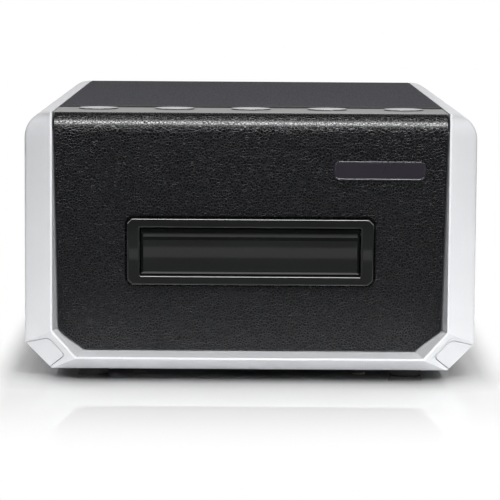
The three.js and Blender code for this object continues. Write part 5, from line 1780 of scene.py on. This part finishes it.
def rocker_mark(name, outlines):
    """A raised mark that lies on the rocker's face."""
    mesh = frame["nodes"]["power_rocker"].data
    faces = [tuple(face.vertices) for face in mesh.polygons]
    hull = BVHTree.FromPolygons([vertex.co for vertex in mesh.vertices], faces)
    rings = []
    for lift, outline in outlines:
        ring = []
        for x, z in outline:
            hit, normal, _, _ = hull.ray_cast(Vector((x, 1, z)), Vector((0, -1, 0)))
            ring.append(tuple(hit + normal * lift))
        rings.append(ring)
    return mesh_piece(name, rings, caps=False)


def mark_rings(outer, inner):
    """Rings of a flat raised mark between two outlines."""
    return [
        (-mark_sunk, outer),
        (mark_raised, outer),
        (mark_raised, inner),
        (-mark_sunk, inner),
        (-mark_sunk, outer),
    ]


mark_paint = matt_plastic("mark_paint", mark_colour, low=0.4, high=0.55)
rocker_low, rocker_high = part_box("power_rocker")
rocker_z = (rocker_low.z + rocker_high.z) / 2
mark_reach = (rocker_high.z - rocker_low.z) / 2 - mark_margin
bar = rounded_rectangle(*mark_bar, switch_middle[0], rocker_z + mark_reach, 2)
rounds = [
    rounded_rectangle(width, width, radius, switch_middle[0], rocker_z - mark_reach)
    for width, radius in mark_ring
]
for name, outlines in (("rocker_mark_on", (bar, inset(bar, mark_core))), ("rocker_mark_off", rounds)):
    mark = rocker_mark(name, mark_rings(*outlines))
    finish_piece(mark, mark_paint, "power_rocker", "black_plastic")

# The feet: four soft rubber buttons with a hollow underneath and a peg that snaps into the floor.
# They are turned from one profile.
foot_names = [name for name in frame["nodes"] if name.startswith("foot_")]
foot_hollow = 0.7 * mm
# The sole's outline: how far in from the rim, and how high.
foot_sole = (
    (3.6 * mm, foot_hollow),
    (3.1 * mm, 0),
    (1.2 * mm, 0),
    (0.75 * mm, 0.35 * mm),
    (0, casing_under - 0.5 * mm),
)
foot_edge = 0.15 * mm
peg_radius = 2.4 * mm
peg_round = 0.4 * mm


def soft_rubber(name, colour, low, high):
    """Moulded rubber with a dry, slightly chalky skin."""
    chalk = (350, 4)
    return patterned(
        name,
        {},
        gloss=(chalk, low, high),
        tint=(chalk, colour, tinted(colour, 2.2), 0.6),
        relief=((3200, 2), 0.2, 0.05 * mm),
    )


rubber = soft_rubber("rubber", (0.012, 0.012, 0.012, 1), low=0.62, high=0.82)
for name in foot_names:
    low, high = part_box(name)
    middle = (low + high) / 2
    wide = (high.x - low.x) / 2
    foot_profile = [
        (0, foot_hollow),
        *[(wide - inwards, height) for inwards, height in foot_sole],
        (wide, casing_under),
        (peg_radius, casing_under),
        (peg_radius, high.z - peg_round),
        (peg_radius - peg_round, high.z),
        (0, high.z),
    ]
    foot = lathe(f"{name}_skin", foot_profile, "z", (middle.x, middle.y, 0))
    soften(foot, foot_edge, 2, angle=35)
    finish_piece(foot, rubber, "casing", "rubber", name)

# The boards: green glass-fibre laminate with copper tracks under the lacquer, and black parts soldered
# on one face. The lamp's board is lacquered white.
board_green = (0.012, 0.075, 0.030, 1)
track_green = (0.030, 0.150, 0.060, 1)
part_black = (0.012, 0.012, 0.013, 1)
lamp_board_whites = ((0.72, 0.72, 0.70, 1), (0.60, 0.60, 0.58, 1))
board_wall = 1.6 * mm
board_edge = 0.08 * mm


def printed_board(name, axis, low, high, base, tracks):
    """Board and parts in one material, told apart by their height along one axis."""
    grain = (900, 3)
    material = patterned(name, {}, gloss=(grain, 0.28, 0.42), relief=(grain, 0.06, 0.03 * mm))
    nodes = material.node_tree.nodes
    place = nodes.new("ShaderNodeTexCoord")
    split = nodes.new("ShaderNodeSeparateXYZ")
    lines = nodes.new("ShaderNodeTexBrick")
    for label, value in (
        ("Scale", 1),
        ("Mortar Size", 0.25 * mm),
        ("Brick Width", 7 * mm),
        ("Row Height", 1.9 * mm),
        ("Color1", base),
        ("Color2", tinted(base, 1.15)),
        ("Mortar", tracks),
    ):
        lines.inputs[label].default_value = value
    mix = nodes.new("ShaderNodeMix")
    mix.data_type = "RGBA"
    mix.inputs["A"].default_value = part_black
    wire(
        (place.outputs["Object"], split.inputs["Vector"]),
        (place.outputs["Object"], lines.inputs["Vector"]),
        (lines.outputs["Color"], mix.inputs["B"]),
    )
    above = maths("GREATER_THAN", split.outputs[axis], low)
    below = maths("LESS_THAN", split.outputs[axis], high)
    wire(
        (maths("MULTIPLY", above, below), mix.inputs["Factor"]),
        (mix.outputs["Result"], nodes["Principled BSDF"].inputs["Base Color"]),
    )
    return material


for name, axis, from_low in (
    ("main_board", "Z", True),
    ("button_board", "Z", True),
    ("sensor_board", "Y", False),
    ("lamp_board", "Z", False),
):
    low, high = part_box(name)
    bottom, top = getattr(low, axis.lower()), getattr(high, axis.lower())
    level = (bottom - mm, bottom + board_wall) if from_low else (top - board_wall, top + mm)
    pale = name == "lamp_board"
    base, tracks = lamp_board_whites if pale else (board_green, track_green)
    finish = printed_board(f"{name}_finish", axis, *level, base, tracks)
    refine(name, "casing", finish, "lamp_white" if pale else "circuit_board", board_edge)

# The film transport: steel side plates, ground shafts, rubber rollers and white acetal gears, and the
# motor with its pinion. Each turning part keeps its own body.
gear_white = matt_plastic("acetal", (0.62, 0.61, 0.57, 1), low=0.32, high=0.42)
tyre_rubber = soft_rubber("tyre_rubber", (0.020, 0.020, 0.021, 1), low=0.5, high=0.66)
for name in ("side_frame_left", "side_frame_right", "chassis_tray", "motor_bracket", "drive_motor"):
    refine(name, "casing", sheet_steel, "sheet_steel", 0.15 * mm)
for end in ("front", "rear"):
    for part, body, material, slot, edge in (
        ("drive_shaft", "drive", pin_steel, "bright_steel", 0.12 * mm),
        ("drive_roller", "drive", tyre_rubber, "rubber", 0.3 * mm),
        ("pinch_roller", "pinch", tyre_rubber, "rubber", 0.3 * mm),
        ("roller_gear", "drive", gear_white, "gear_plastic", 0.06 * mm),
        ("idler_gear", "idler", gear_white, "gear_plastic", 0.06 * mm),
    ):
        refine(f"{end}_{part}", f"{end}_{body}", material, slot, edge)
refine("motor_pinion", "motor_pinion", pin_steel, "bright_steel", 0.05 * mm)

# The light path: a black film bed and its guide, a steel lamp housing over a milky diffuser, and
# below the film a mirror, a lens in its barrel and the clamp that holds it in the optics tray.
milk = ((0.80, 0.81, 0.82, 1), (0.88, 0.88, 0.88, 1))
glass_coat = (0.75, 0.80, 1.0, 1)
mirror_colour = (0.88, 0.90, 0.90, 1)


def milky_sheet():
    """Opal plastic, cloudy inside, that lets a third of the light through."""
    cloud = (300, 3)
    return patterned(
        "milky_sheet", {"Transmission Weight": 0.35}, gloss=(cloud, 0.4, 0.55), tint=(cloud, *milk, 1)
    )


def clear_glass():
    """Lens glass with a bluish coating and a trace of haze."""
    even = {"Transmission Weight": 1, "IOR": 1.52, "Coat Weight": 0.3, "Coat Tint": glass_coat}
    return patterned("clear_glass", even, gloss=((200, 2), 0.0, 0.03))


def silvered_glass():
    """A front-silvered mirror, with a little dust in its gloss."""
    even = {"Base Color": mirror_colour, "Metallic": 1}
    return patterned("silvered_glass", even, gloss=((150, 3), 0.01, 0.05))


for node, material, slot, edge, angle in (
    ("film_bed", black_plastic, "black_plastic", 0.2 * mm, 30),
    ("film_guide", black_plastic, "black_plastic", 0.2 * mm, 30),
    ("optics_tray", black_plastic, "black_plastic", 0.2 * mm, 30),
    ("lens_barrel", black_plastic, "black_plastic", 0.15 * mm, 30),
    ("lamp_housing", sheet_steel, "sheet_steel", 0.15 * mm, 30),
    ("lens_clamp", sheet_steel, "sheet_steel", 0.12 * mm, 30),
    ("diffuser_plate", milky_sheet(), "diffuser", 0.15 * mm, 30),
    ("lens_glass", clear_glass(), "lens_glass", 0.05 * mm, 50),
    ("scan_mirror", silvered_glass(), "mirror", 0.1 * mm, 30),
):
    refine(node, "casing", material, slot, edge, angle)
